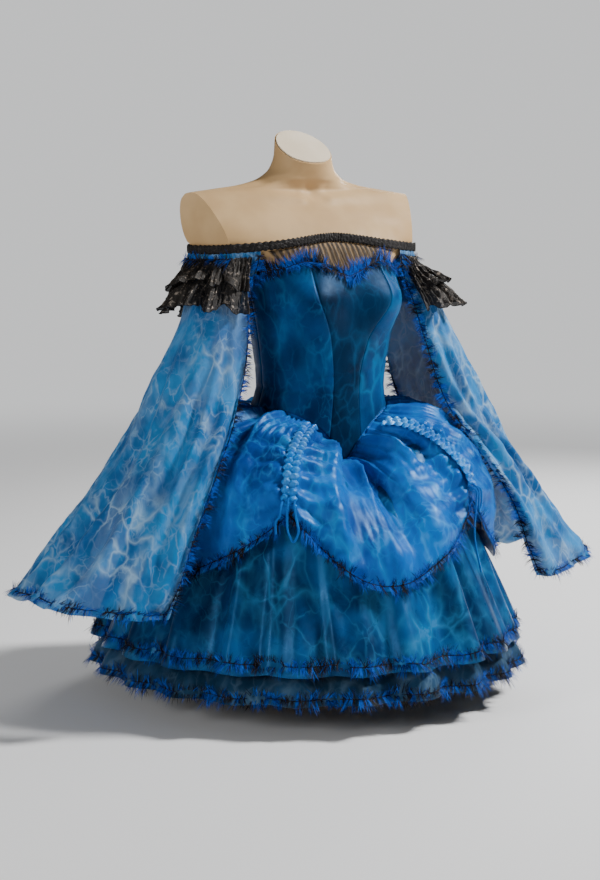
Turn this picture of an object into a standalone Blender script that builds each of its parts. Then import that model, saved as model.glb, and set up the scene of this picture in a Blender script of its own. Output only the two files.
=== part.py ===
# Off-shoulder dress on a limbless dress form.
#
# Metres, +Z up. The front faces -Y and the wearer's left is +X. The origin is the centre of the
# form's flat base. A turn is an angle about +Z from the front, growing towards the wearer's left.
# Every cloth piece is an open surface, worked out from the tables below, with a Solidify modifier
# that thickens it outwards. Pieces that are sewn together stay a seam gap apart.

import math
from collections import namedtuple

import bmesh
import bpy
import numpy as np
from mathutils import Vector

# Cloth and seams

SEAM_GAP = 0.0004
BODICE_CLOTH = 0.0015
SHEER_CLOTH = 0.0012
BAND_CLOTH = 0.0020
BAND_EASE = 0.0007
BODICE_EASE = 0.0062
YOKE_EASE = 0.0022
OVERSKIRT_EASE = 0.0037
SKIRT_EASE = 0.0014
TUCK = 0.005
WAIST_RADIUS = 0.10
HALVINGS = 24

# The form, by horizontal sections from the base up

FormRow = namedtuple("FormRow", "height half_width front back centre_y")
FORM = (
    FormRow(0.000, 0.150, 0.100, 0.100, 0.000),
    FormRow(0.120, 0.160, 0.108, 0.108, 0.000),
    FormRow(0.260, 0.166, 0.112, 0.115, -0.005),
    FormRow(0.360, 0.158, 0.106, 0.113, -0.018),
    FormRow(0.450, 0.133, 0.092, 0.098, -0.038),
    FormRow(0.540, 0.109, 0.082, 0.082, -0.052),
    FormRow(0.600, 0.115, 0.087, 0.090, -0.054),
    FormRow(0.680, 0.127, 0.094, 0.104, -0.050),
    FormRow(0.735, 0.141, 0.095, 0.100, -0.035),
    FormRow(0.752, 0.168, 0.098, 0.090, -0.020),
    FormRow(0.766, 0.210, 0.100, 0.084, -0.008),
    FormRow(0.785, 0.245, 0.096, 0.078, 0.004),
    FormRow(0.820, 0.262, 0.078, 0.068, 0.012),
    FormRow(0.845, 0.255, 0.058, 0.058, 0.016),
    FormRow(0.860, 0.228, 0.043, 0.046, 0.018),
    FormRow(0.869, 0.170, 0.038, 0.042, 0.018),
    FormRow(0.876, 0.120, 0.040, 0.043, 0.018),
    FormRow(0.888, 0.080, 0.044, 0.046, 0.016),
    FormRow(0.906, 0.058, 0.047, 0.049, 0.012),
    FormRow(0.930, 0.050, 0.049, 0.050, 0.008),
    FormRow(0.990, 0.049, 0.050, 0.050, 0.004),
)
FORM_SIDES = 28
FORM_BETWEEN = (0.190, 0.310, 0.495, 0.640, 0.660, 0.705)

# Rounded fullness at the bust, the same on both sides
BUST_TURN = math.radians(36)
BUST_SPREAD = math.radians(25)
BUST_HEIGHT = 0.682
BUST_RISE = 0.052
BUST_FULLNESS = 0.033

# Flat plates where the arms and the neck end
PLATE_X = 0.205
PLATE_Y = 0.012
PLATE_HEIGHT = 0.815
PLATE_FORWARD = math.radians(14)
PLATE_DOWN = math.radians(8)
PLATE_LEAST_SLOPE = 0.2
PLATE_CUTS_ABOVE = 0.700
NECK_CUT_HEIGHT = 0.940
NECK_CUT_TILT = math.radians(33)
CAP_INSET = 0.95
CAP_DEPTH = 0.002

# Neckline band and yoke

BAND_HEIGHT_FRONT = 0.781
BAND_DROP_AT_ARMS = 0.021
BAND_CENTRE_Y = -0.004
BAND_REACH_TURN = math.radians(2.5)
BAND_WIDTH = 0.014
BAND_WAVES = 30
BAND_RIPPLE = 0.0014
YOKE_TURN = math.radians(55)
YOKE_WAVES = 12
YOKE_RIPPLE = 0.0022
YOKE_BELOW_BAND = 0.0016
YOKE_ROWS = (0.0, 0.16, 0.6, 1.0)

# Bodice edges and seams: turns in degrees from the front

EdgeRow = namedtuple("EdgeRow", "turn height")
BODICE_TOP = (
    EdgeRow(0, 0.7310),
    EdgeRow(14, 0.7400),
    EdgeRow(34, 0.7540),
    EdgeRow(55, 0.7430),
    EdgeRow(90, 0.7340),
    EdgeRow(180, 0.7290),
)
BODICE_BOTTOM = (
    EdgeRow(0, 0.410),
    EdgeRow(18, 0.452),
    EdgeRow(38, 0.480),
    EdgeRow(62, 0.497),
    EdgeRow(90, 0.500),
    EdgeRow(180, 0.492),
)
SeamRow = namedtuple("SeamRow", "height turn")
PRINCESS_SEAM = (
    SeamRow(0.400, 19),
    SeamRow(0.540, 16),
    SeamRow(0.620, 21),
    SeamRow(0.690, 31),
    SeamRow(0.760, 35),
)
SIDE_SEAM_TURN = 88
BACK_SEAM_TURN = 180
NECKLINE_SKIP = 3
BODICE_ROWS = (0.0, 0.15, 0.30, 0.44, 0.57, 0.68, 0.78, 0.89, 1.0)

# Sleeves, by horizontal sections: an open oval whose gap faces the body

SleeveRow = namedtuple("SleeveRow", "height centre_x centre_y half_width half_depth front_angle back_angle")
SLEEVE = (
    SleeveRow(0.200, 0.392, -0.040, 0.165, 0.152, 99, 92),
    SleeveRow(0.245, 0.366, -0.040, 0.142, 0.154, 99, 90),
    SleeveRow(0.329, 0.320, -0.040, 0.116, 0.150, 95, 84),
    SleeveRow(0.417, 0.276, -0.040, 0.096, 0.128, 99, 78),
    SleeveRow(0.504, 0.240, -0.040, 0.086, 0.098, 112, 98),
    SleeveRow(0.592, 0.210, -0.046, 0.071, 0.077, 116, 112),
    SleeveRow(0.680, 0.186, -0.034, 0.056, 0.064, 116, 116),
    SleeveRow(0.766, 0.172, -0.006, 0.045, 0.060, 116, 116),
)
SLEEVE_TOP_FRONT = math.radians(58)
SLEEVE_TOP_BACK = math.radians(122)
SLEEVE_BELOW_BAND = 0.0006
SLEEVE_CAP_DEPTH = 0.16
SLEEVE_HEM_FRONT = 0.188
SLEEVE_HEM_TIP = 0.212
SLEEVE_FOLDS = 4
SLEEVE_FOLD_DEPTH = 0.006
SLEEVE_COLUMNS = 18
SLEEVE_ROWS = (0.0, 0.012, 0.07, 0.15, 0.30, 0.47, 0.64, 0.82, 1.0)
SLEEVE_FRINGE_FROM_ROW = 5

# Shoulder ruffles: share of the sleeve's length at the sewn edge and at the hem

RuffleRow = namedtuple("RuffleRow", "name sewn hem lift_sewn lift_hem")
RUFFLES = (
    RuffleRow("upper", 0.014, 0.114, 0.0008, 0.026),
    RuffleRow("lower", 0.066, 0.176, 0.0008, 0.030),
)
RUFFLE_WAVES = 8
RUFFLE_WAVE_DEPTH = 0.007
RUFFLE_COLUMNS = 24
RUFFLE_START = 0.06
RUFFLE_END_LIFT = 0.45
RUFFLE_END_SHARE = 0.25
RUFFLE_ROWS = (1.0, 0.5, 0.0)

# Overskirt: gathered to the bodice, drawn up by five casings into five scallops

SCALLOPS = 5
SCALLOP_TURN = 360 / SCALLOPS
CASING_TURNS = (-36, 36, 108, 180, 252)
SCALLOP_LOW = 0.224
SCALLOP_PEAK = 0.343
SCALLOP_SKEW = 0.11
OVERSKIRT_PEAK_RADIUS = 0.300
OVERSKIRT_LOW_RADIUS = 0.330
OVERSKIRT_HEM_CENTRE_Y = -0.010
OVERSKIRT_PUFF = 0.010
OVERSKIRT_FRONT_TURN = math.radians(32)
OVERSKIRT_FRONT_FALL = 0.40
OVERSKIRT_SHARES = (0.20, 0.36, 0.54, 0.76, 1.0)
OVERSKIRT_SEAM_ROWS = ((0.85, 0.0080), (0.45, 0.0004))
GATHERS_A_SCALLOP = 4
GATHER_DEPTH = 0.0050
COLUMNS_A_SCALLOP = 12

# Skirt and inner flounce, by height of the mean surface

SkirtRow = namedtuple("SkirtRow", "height radius")
SKIRT = (
    SkirtRow(0.030, 0.391),
    SkirtRow(0.110, 0.362),
    SkirtRow(0.170, 0.336),
    SkirtRow(0.224, 0.312),
    SkirtRow(0.300, 0.283),
    SkirtRow(0.360, 0.253),
    SkirtRow(0.450, 0.200),
    SkirtRow(0.500, 0.150),
)
SKIRT_HEM = 0.098
SKIRT_FOLDS = 22
SKIRT_FOLD_DEPTH = 0.0095
SKIRT_FOLD_MOST = 1.40
SKIRT_FOLD_START = 0.460
SKIRT_BELOW_OVERSKIRT = 0.015
SKIRT_COLUMNS = 66
SKIRT_DROPS = (0.001, 0.026, 0.085)
SKIRT_TURNS_OUT_OVER = 0.030
SKIRT_SHARES = (0.50, 1.0)
FLOUNCE_SEAM_ROW = 1
FLOUNCE_SEWN_IN = 0.0021
FLOUNCE_SET_IN = 0.0125
FLOUNCE_HEIGHTS = (0.136, 0.052)

# Casings and their drawstrings

CASING_WIDTH = 0.024
CASING_LOW_ROW = 0.40
CASING_HIGH_ROW = 2.40
CASING_OFF = 0.0014
CASING_RIPPLES = 5
CASING_RIPPLE_DEPTH = 0.0016
CORD_EXIT_ROW = 0.70
CORD_RADIUS = 0.0018
CORD_SPACING = 0.0108
CORD_START = 0.0010
CORD_BEYOND_CASING = 0.012
CORD_CLEAR = 0.002
DrawstringRow = namedtuple("DrawstringRow", "turn loop_drop tail_drop")
DRAWSTRINGS = (
    DrawstringRow(-36, 0.072, 0.060),
    DrawstringRow(36, 0.052, 0.150),
    DrawstringRow(180, 0.062, 0.090),
)
# A drawstring's way: degrees beside its casing, share of its whole drop, a further drop, and its clearance
WayRow = namedtuple("WayRow", "aside share drop clear")
LOOP_WAY = (
    WayRow(-0.1, 0.0, 0.014, 0.003),
    WayRow(-0.2, 0.0, 0.032, 0.004),
    WayRow(0.2, 1.0, -0.014, 0.003),
    WayRow(1.6, 1.0, 0.000, 0.003),
    WayRow(3.0, 1.0, -0.014, 0.003),
    WayRow(2.4, 0.0, 0.032, 0.004),
    WayRow(1.9, 0.0, 0.014, 0.003),
)
TAIL_WAY = (
    WayRow(-2.0, 0.0, 0.014, 0.003),
    WayRow(-2.5, 0.0, 0.032, 0.004),
    WayRow(-3.2, 0.6, 0.000, 0.003),
    WayRow(-3.6, 1.0, 0.000, 0.003),
)
CORD_APART = 0.009

# Fringe: a narrow strip on the cloth, with locks that stand off it both ways

STRIP_HALF_WIDTH = 0.0015
STRIP_OFF_CLOTH = 0.0009
STRIP_OFF_TWISTED = 0.0016
STRIP_DEPTH = 0.0020
LOCK_SHARE = 0.45
LOCK_LENGTH = 0.021
HEM_FRINGE_ROW = 0.12
SHOULDER_FRINGE_ROW = 1.8
NECKLINE_FRINGE_BELOW = 0.18

# Finishes: linear colour and roughness

CREAM = (0.72, 0.64, 0.52)
TEAL = (0.010, 0.065, 0.150)
BRIGHT_BLUE = (0.008, 0.110, 0.420)
SKIRT_BLUE = (0.008, 0.085, 0.270)
SKY_BLUE = (0.120, 0.340, 0.640)
ROYAL_BLUE = (0.020, 0.070, 0.450)
CHARCOAL = (0.030, 0.028, 0.030)


# Tables read as smooth curves

def curve_through(keys, values, at):
    """Values at the places asked for, on a smooth curve through the rows that never overshoots."""
    keys = np.asarray(keys, dtype=float)
    values = np.asarray(values, dtype=float)
    secants = np.diff(values) / np.diff(keys)
    product = secants[:-1] * secants[1:]
    total = np.where(product > 0, secants[:-1] + secants[1:], 1.0)
    slopes = np.concatenate(([secants[0]], np.where(product > 0, 2 * product / total, 0.0), [secants[-1]]))
    at = np.clip(at, keys[0], keys[-1])
    row = np.clip(np.searchsorted(keys, at, side="right") - 1, 0, len(keys) - 2)
    span = keys[row + 1] - keys[row]
    share = (at - keys[row]) / span
    rise = share * share * (3 - 2 * share)
    leaving = share * (1 - share) ** 2 * span * slopes[row]
    arriving = share * share * (share - 1) * span * slopes[row + 1]
    return values[row] * (1 - rise) + values[row + 1] * rise + leaving + arriving


def column(table, key, field, at):
    """One column of a table, read as a smooth curve over its key column."""
    keys = [getattr(row, key) for row in table]
    values = [getattr(row, field) for row in table]
    return curve_through(keys, values, at)


def ease_in(share):
    """A smooth step from 0 to 1."""
    share = np.clip(share, 0.0, 1.0)
    return share * share * (3 - 2 * share)


def blend(first, second, share):
    return first + (second - first) * share


def wrapped(turn):
    """The same turn between minus and plus half a circle."""
    return (turn + math.pi) % (2 * math.pi) - math.pi


# Grids of points: rows from the bottom up, columns with growing turn

def grid_normals(grid, closed=False):
    """Unit vectors that point out of the cloth at each point of a grid."""
    if closed:
        along = np.roll(grid, -1, axis=1) - np.roll(grid, 1, axis=1)
    else:
        along = np.gradient(grid, axis=1)
    normal = np.cross(along, np.gradient(grid, axis=0))
    return normal / np.linalg.norm(normal, axis=-1, keepdims=True)


def at_grid(grid, row, place):
    """A point between a grid's rows and columns, on the flat faces that join them."""
    low = min(int(row), len(grid) - 2)
    first = int(math.floor(place))
    total = grid.shape[1]
    lower = blend(grid[low][first % total], grid[low][(first + 1) % total], place - first)
    upper = blend(grid[low + 1][first % total], grid[low + 1][(first + 1) % total], place - first)
    return blend(lower, upper, row - low)


# Body shape that the form and the cloth share

def form_centre(height):
    return column(FORM, "height", "centre_y", height)


def form_radius(turn, height):
    """Distance from the section's centre to the form, before the arms are cut off."""
    half_width = column(FORM, "height", "half_width", height)
    front = column(FORM, "height", "front", height)
    back = column(FORM, "height", "back", height)
    depth = np.where(np.cos(turn) > 0, front, back)
    radius = 1 / np.sqrt((np.sin(turn) / half_width) ** 2 + (np.cos(turn) / depth) ** 2)
    level = np.exp(-((height - BUST_HEIGHT) / BUST_RISE) ** 2)
    for side in (-1, 1):
        off = wrapped(turn - side * BUST_TURN)
        radius = radius + BUST_FULLNESS * level * np.exp(-(off / BUST_SPREAD) ** 2)
    return radius


def plate_normal(side):
    flat = math.cos(PLATE_DOWN)
    return Vector((side * math.cos(PLATE_FORWARD) * flat, -math.sin(PLATE_FORWARD) * flat, -math.sin(PLATE_DOWN)))


def cut_radius(turn, height):
    """The form's radius with the arms cut off at their plates."""
    radius = form_radius(turn, height)
    for side in (-1, 1):
        normal = plate_normal(side)
        towards = normal.x * np.sin(turn) - normal.y * np.cos(turn)
        reach = normal.x * side * PLATE_X + normal.y * (PLATE_Y - form_centre(height))
        reach = reach + normal.z * (PLATE_HEIGHT - height)
        faces_plate = (towards > PLATE_LEAST_SLOPE) & (height > PLATE_CUTS_ABOVE)
        limit = reach / np.where(faces_plate, towards, 1.0)
        radius = np.where(faces_plate, np.minimum(radius, limit), radius)
    return radius


def polar(turn, radius, height, centre_y):
    """Points from turns, radii, heights and section centres."""
    x = radius * np.sin(turn)
    y = centre_y - radius * np.cos(turn)
    return np.stack(np.broadcast_arrays(x, y, height), axis=-1)


def reach_from(turn, height, centre):
    """Distance to the cut form from any centre on the middle plane, found by halving."""
    near = np.zeros(np.broadcast(turn, height, centre).shape)
    far = np.full_like(near, 0.40)
    for _ in range(HALVINGS):
        middle = (near + far) / 2
        x = middle * np.sin(turn)
        y = form_centre(height) - centre + middle * np.cos(turn)
        outside = np.hypot(x, y) > cut_radius(np.arctan2(x, y), height)
        far = np.where(outside, middle, far)
        near = np.where(outside, near, middle)
    return near


# Neckline

def band_bottom(turn):
    return BAND_HEIGHT_FRONT - BAND_DROP_AT_ARMS * np.sin(turn) ** 2


def band_radius(turn):
    """Inner radius of the band: it holds the widest part of the form at its own height."""
    low = band_bottom(turn)
    reaches = []
    for aside in (-BAND_REACH_TURN, 0.0, BAND_REACH_TURN):
        for share in (0.0, 0.5, 1.0):
            reaches.append(reach_from(turn + aside, low + share * BAND_WIDTH, BAND_CENTRE_Y))
    return np.max(reaches, axis=0) + BAND_EASE


def neckline_band():
    columns = 2 * BAND_WAVES
    turns = np.arange(columns) * 2 * math.pi / columns
    radius = band_radius(turns) + BAND_RIPPLE * (np.arange(columns) % 2)
    bottom = band_bottom(turns)
    rows = [polar(turns, radius, bottom + share * BAND_WIDTH, BAND_CENTRE_Y) for share in (0.0, 1.0)]
    cloth("neck_band", np.array(rows), BAND_CLOTH, FINISH["charcoal"], closed=True)


def yoke(name, middle):
    """Gathered sheer cloth, tucked behind the bodice's edge and ending just under the band."""
    columns = 2 * YOKE_WAVES
    turns = middle + np.linspace(-YOKE_TURN, YOKE_TURN, columns + 1)
    low = bodice_edge(BODICE_TOP, turns) - TUCK
    high = band_bottom(turns) - YOKE_BELOW_BAND
    gather = YOKE_RIPPLE * (np.arange(columns + 1) % 2)
    rows = []
    for share in YOKE_ROWS:
        height = blend(low, high, share)
        centre = blend(form_centre(low), BAND_CENTRE_Y, share)
        on_form = reach_from(turns, height, centre) + blend(YOKE_EASE, BAND_EASE, share ** 2)
        swell = gather * math.sin(math.pi * share) ** 2
        radius = np.maximum(on_form, blend(0, band_radius(turns), share == 1.0)) + swell
        rows.append(polar(turns, radius, height, centre))
    cloth(name, np.array(rows), SHEER_CLOTH, FINISH["charcoal"])


# Bodice

def bodice_edge(table, turn):
    return column(table, "turn", "height", np.degrees(np.abs(wrapped(turn))))


def bodice_radius(turn, height):
    return cut_radius(turn, height) + BODICE_EASE


def bodice_grid(start, end, columns):
    """A panel between two seams, each given as a function of height that returns a turn."""
    across = np.linspace(0, 1, columns + 1)
    grid = []
    for share in BODICE_ROWS:
        turn = blend(start(BUST_HEIGHT), end(BUST_HEIGHT), across)
        for _ in range(HALVINGS // 2):
            height = blend(bodice_edge(BODICE_BOTTOM, turn), bodice_edge(BODICE_TOP, turn), share)
            turn = blend(start(height), end(height), across)
        gap = SEAM_GAP / 2 / bodice_radius(turn, height)
        turn = turn + gap * (1 - 2 * across)
        grid.append(polar(turn, bodice_radius(turn, height), height, form_centre(height)))
    return np.array(grid)


def princess(side):
    return lambda height: side * np.radians(column(PRINCESS_SEAM, "height", "turn", height))


def straight_seam(turn):
    return lambda height: math.radians(turn) + 0 * np.asarray(height)


def bodice():
    """All panels. Returns the grid of the front's upper edge, from side to side."""
    side = SIDE_SEAM_TURN
    back = BACK_SEAM_TURN
    panels = {
        "bodice_side_front_right": bodice_grid(straight_seam(-side), princess(-1), 8),
        "bodice_front_centre": bodice_grid(princess(-1), princess(1), 8),
        "bodice_side_front_left": bodice_grid(princess(1), straight_seam(side), 8),
        "bodice_back_left": bodice_grid(straight_seam(side), straight_seam(back), 9),
        "bodice_back_right": bodice_grid(straight_seam(-back), straight_seam(-side), 9),
    }
    for name, grid in panels.items():
        cloth(name, grid, BODICE_CLOTH, FINISH["teal"])
    right = panels["bodice_side_front_right"][:, NECKLINE_SKIP:-1]
    left = panels["bodice_side_front_left"][:, 1:-NECKLINE_SKIP]
    return np.concatenate((right, panels["bodice_front_centre"], left), axis=1)


# Sleeves and shoulder ruffles

def sleeve_point(side, across, down):
    """A point of a sleeve: across runs from the front edge to the back edge, down from the band to the hem."""
    nominal = blend(SLEEVE[-1].height, SLEEVE[0].height, down)
    centre_x = column(SLEEVE, "height", "centre_x", nominal)
    centre_y = column(SLEEVE, "height", "centre_y", nominal)
    half_width = column(SLEEVE, "height", "half_width", nominal)
    half_depth = column(SLEEVE, "height", "half_depth", nominal)
    front_angle = np.radians(column(SLEEVE, "height", "front_angle", nominal))
    back_angle = np.radians(column(SLEEVE, "height", "back_angle", nominal))
    angle = (2 * across - 1) * np.where(across < 0.5, front_angle, back_angle)
    fold = SLEEVE_FOLD_DEPTH * ease_in((down - 0.15) / 0.6) * np.sin(2 * math.pi * SLEEVE_FOLDS * across)
    x = centre_x + (half_width + fold) * np.cos(angle)
    y = centre_y + (half_depth + fold) * np.sin(angle)
    turn = blend(SLEEVE_TOP_FRONT, SLEEVE_TOP_BACK, across)
    at_band = polar(turn, band_radius(turn), band_bottom(turn) - SLEEVE_BELOW_BAND, BAND_CENTRE_Y)
    settled = ease_in(down / SLEEVE_CAP_DEPTH)
    x = blend(at_band[..., 0], x, settled)
    y = blend(at_band[..., 1], y, settled)
    tip = np.sin(math.pi * np.clip(across, 0, 1)) ** 2
    hem = blend(SLEEVE_HEM_FRONT, SLEEVE_HEM_TIP, tip)
    height = blend(at_band[..., 2], hem, down)
    return np.stack((side * x, y, height), axis=-1)


def sleeve_grid(side):
    """The sleeve's points, with columns that run so that the cloth faces out on either side."""
    across, down = np.meshgrid(np.linspace(0, 1, SLEEVE_COLUMNS + 1), SLEEVE_ROWS[::-1])
    return sleeve_point(side, across, down)[:, ::side]


def sleeve(side, name):
    cloth("sleeve_" + name, sleeve_grid(side), SHEER_CLOTH, FINISH["sky"])


def ruffle_grid(side, row):
    """A flared strip, lifted from the sleeve's outer face, with waves that deepen towards its hem."""
    base = sleeve_grid(side)
    normals = grid_normals(base)
    share_across = np.linspace(0, 1, RUFFLE_COLUMNS + 1)
    places = blend(RUFFLE_START, 1 - RUFFLE_START, share_across) * SLEEVE_COLUMNS
    wave = np.cos(2 * math.pi * RUFFLE_WAVES * share_across)
    from_end = np.minimum(share_across, 1 - share_across)
    ends = blend(RUFFLE_END_LIFT, 1.0, ease_in(from_end / RUFFLE_END_SHARE))
    rows = []
    for share in RUFFLE_ROWS:
        lift = row.lift_sewn + (row.lift_hem - row.lift_sewn) * share ** 0.8 * ends
        lift = lift + RUFFLE_WAVE_DEPTH * share * wave * ends
        down = blend(row.sewn, row.hem, share)
        level = len(SLEEVE_ROWS) - 1 - np.interp(down, SLEEVE_ROWS, range(len(SLEEVE_ROWS)))
        points = np.array([at_grid(base, level, place) for place in places])
        out = np.array([at_grid(normals, level, place) for place in places])
        out = out / np.linalg.norm(out, axis=1, keepdims=True)
        rows.append(points + out * (SHEER_CLOTH + lift)[:, None])
    return np.array(rows)


def ruffle(side, side_name, row):
    cloth("ruffle_" + row.name + "_" + side_name, ruffle_grid(side, row), SHEER_CLOTH, FINISH["charcoal"])


# Overskirt

def scallop(turn):
    """1 at the lowest point of each scallop, a little to its right, and 0 at each casing."""
    skewed = turn + SCALLOP_SKEW * np.cos(SCALLOPS * turn / 2) ** 2
    return np.abs(np.cos(SCALLOPS * skewed / 2))


def overskirt_hem(turn):
    return SCALLOP_PEAK - (SCALLOP_PEAK - SCALLOP_LOW) * scallop(turn)


def overskirt_mean(turn, share):
    """Radius, height and centre of the smooth overskirt, from its gathered edge down to its hem.

    It stands out almost level at the sides and falls more steeply below the bodice's front point.
    """
    front = np.exp(-(wrapped(turn) / OVERSKIRT_FRONT_TURN) ** 2)
    top = bodice_edge(BODICE_BOTTOM, turn)
    start = bodice_radius(turn, top) - BODICE_EASE + OVERSKIRT_EASE
    hem_radius = blend(OVERSKIRT_PEAK_RADIUS, OVERSKIRT_LOW_RADIUS, scallop(turn))
    arc = share * math.pi / 2
    out = np.sin(arc) ** (0.9 + 0.4 * front)
    radius = blend(start, hem_radius, out) + OVERSKIRT_PUFF * scallop(turn) * np.sin(2 * arc) * (1 - front)
    fall = blend(1 - np.cos(arc), share, OVERSKIRT_FRONT_FALL * front)
    height = top - (top - overskirt_hem(turn)) * fall
    centre = blend(form_centre(top), OVERSKIRT_HEM_CENTRE_Y, ease_in(share * 1.6))
    return radius, height, centre


def overskirt_point(turn, share):
    """A point of the overskirt with its gathers. Share 0 is the gathered edge and 1 the hem."""
    radius, height, centre = overskirt_mean(turn, share)
    swell = np.sin(math.pi * np.clip(share, 0, 1) ** 0.8) * 0.7 + 0.3 * share
    gather = GATHER_DEPTH * swell * np.cos(SCALLOPS * GATHERS_A_SCALLOP * turn)
    return polar(turn, radius + gather, height, centre)


def seam_drop(turn):
    """How far below the bodice's edge the overskirt is when it starts to stand out."""
    return bodice_edge(BODICE_BOTTOM, turn) - overskirt_mean(turn, OVERSKIRT_SHARES[0])[1]


def overskirt_grid(turns):
    """Rows from the hem up. The last ones run steeply up behind the bodice's edge."""
    grid = [overskirt_point(turns, np.full_like(turns, share)) for share in OVERSKIRT_SHARES[::-1]]
    top = bodice_edge(BODICE_BOTTOM, turns)
    drop = seam_drop(turns)
    for share, out in OVERSKIRT_SEAM_ROWS:
        height = top - share * drop
        radius = bodice_radius(turns, height) - BODICE_EASE + OVERSKIRT_EASE + out
        grid.append(polar(turns, radius, height, form_centre(height)))
    above = bodice_radius(turns, top + TUCK) - BODICE_EASE + OVERSKIRT_EASE
    grid.append(polar(turns, above, top + TUCK, form_centre(top + TUCK)))
    return np.array(grid)


def even_turns(first, last, columns):
    """Column turns of a piece, drawn in at both ends by half a seam gap."""
    turns = np.radians(np.linspace(first, last, columns + 1))
    return turns + SEAM_GAP / WAIST_RADIUS / 2 * np.linspace(1, -1, columns + 1)


def overskirt(name, first, last):
    columns = round((last - first) / SCALLOP_TURN) * COLUMNS_A_SCALLOP
    grid = overskirt_grid(even_turns(first, last, columns))
    cloth(name, grid, SHEER_CLOTH, FINISH["bright"])


# Skirt and flounce

def skirt_fold(turn, height):
    depth = SKIRT_FOLD_DEPTH * ease_in((SKIRT_FOLD_START - height) / 0.33)
    uneven = 1 + 0.25 * np.sin(3 * turn + 0.8) + (SKIRT_FOLD_MOST - 1.25) * np.sin(5 * turn)
    return depth * uneven * np.cos(SKIRT_FOLDS * turn)


def overskirt_at(turn, height):
    """Mean overskirt radius and centre at a height, found by halving; below its hem the radius is wide."""
    near = np.zeros(np.broadcast(turn, height).shape)
    far = np.ones_like(near)
    for _ in range(HALVINGS):
        middle = (near + far) / 2
        below = overskirt_mean(turn, middle)[1] < height
        far = np.where(below, middle, far)
        near = np.where(below, near, middle)
    radius, _, centre = overskirt_mean(turn, near)
    hidden = height > overskirt_hem(turn)
    return np.where(hidden, radius, 1.0), np.where(hidden, centre, OVERSKIRT_HEM_CENTRE_Y)


def skirt_point(turn, height, inset):
    """A point of the skirt at a height, or of a layer that is set in from it."""
    top = bodice_edge(BODICE_BOTTOM, turn)
    cover, centre = overskirt_at(turn, height)
    target = column(SKIRT, "height", "radius", height) + skirt_fold(turn, height)
    target = np.minimum(target, cover - SKIRT_BELOW_OVERSKIRT)
    settled = ease_in((top - height - skirt_leaves(turn)) / SKIRT_TURNS_OUT_OVER)
    start = bodice_radius(turn, height) - BODICE_EASE + SKIRT_EASE
    radius = blend(start, target, settled) - inset
    return polar(turn, radius, height, blend(form_centre(height), centre, settled))


def skirt_leaves(turn):
    """How far below the bodice's edge the skirt leaves the form, inside the overskirt."""
    return 1.05 * seam_drop(turn) + 0.003


def skirt_grid(turns):
    """Rows from the hem up to the edge that is tucked behind the bodice's."""
    top = bodice_edge(BODICE_BOTTOM, turns)
    heights = [top + 0.8 * TUCK]
    heights += [top - skirt_leaves(turns) - drop for drop in SKIRT_DROPS]
    heights += [blend(heights[-1], SKIRT_HEM, share) for share in SKIRT_SHARES]
    return np.array([skirt_point(turns, height, 0.0) for height in heights[::-1]])


def skirt(name, first, last):
    grid = skirt_grid(even_turns(first, last, SKIRT_COLUMNS // 2))
    cloth(name, grid, SHEER_CLOTH, FINISH["skirt"])


def flounce_grid(turns):
    """Sewn inside the skirt along one of its rows, then hanging inside it and past its hem."""
    seam = skirt_grid(turns)[FLOUNCE_SEAM_ROW][..., 2]
    rows = [skirt_point(turns, np.full_like(turns, height), FLOUNCE_SET_IN) for height in FLOUNCE_HEIGHTS[::-1]]
    rows.append(skirt_point(turns, seam, FLOUNCE_SEWN_IN))
    return np.array(rows)


def flounce(name, first, last):
    grid = flounce_grid(even_turns(first, last, SKIRT_COLUMNS // 2))
    cloth(name, grid, SHEER_CLOTH, FINISH["skirt"])


# Casings and drawstrings

def closed_turns(first, columns):
    return np.radians(first + np.arange(columns) * 360 / columns)


def whole_overskirt():
    """The overskirt's grid all round, with its first column one scallop before the first casing."""
    grid = overskirt_grid(closed_turns(CASING_TURNS[0] - SCALLOP_TURN, SCALLOPS * COLUMNS_A_SCALLOP))
    return grid, grid_normals(grid, closed=True)


def on_overskirt(row, place, lift):
    """A point over the overskirt's outer face, by grid row from the hem up and by grid column."""
    grid, normals = OVERSKIRT_ALL_ROUND
    normal = at_grid(normals, row, place)
    return at_grid(grid, row, place) + normal / np.linalg.norm(normal) * (SHEER_CLOTH + lift)


def casing_place(turn, sideways=0.0):
    """The overskirt's grid column at a turn in degrees, and some metres to one side of it."""
    turn = turn + math.degrees(sideways / OVERSKIRT_PEAK_RADIUS)
    return (turn - CASING_TURNS[0] + SCALLOP_TURN) * COLUMNS_A_SCALLOP / SCALLOP_TURN


def casing(index, turn):
    """A ruched strip on the overskirt, over the line that draws the hem up."""
    grid = []
    for number in range(2 * CASING_RIPPLES + 1):
        row = blend(CASING_LOW_ROW, CASING_HIGH_ROW, number / (2 * CASING_RIPPLES))
        lift = CASING_OFF + CASING_RIPPLE_DEPTH * (number % 2)
        places = [casing_place(turn, offset * CASING_WIDTH / 2) for offset in (-1, 0, 1)]
        grid.append([on_overskirt(row, place, lift) for place in places])
    cloth("casing_" + str(index), np.array(grid), SHEER_CLOTH, FINISH["bright"])


def cord_stop(turn, sideways, lift):
    """A place over the casing's face, some way off it."""
    face = CASING_OFF + CASING_RIPPLE_DEPTH + SHEER_CLOTH
    return on_overskirt(CORD_EXIT_ROW, casing_place(turn, sideways), face + lift)


def beside_skirt(turn, height, clear):
    """A point that hangs clear of the skirt's folds."""
    widest = float(column(SKIRT, "height", "radius", height)) + SKIRT_FOLD_MOST * SKIRT_FOLD_DEPTH
    radius = max(OVERSKIRT_PEAK_RADIUS + CORD_BEYOND_CASING, widest + CORD_CLEAR) + clear
    return polar(math.radians(turn), radius, height, OVERSKIRT_HEM_CENTRE_Y)


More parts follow.
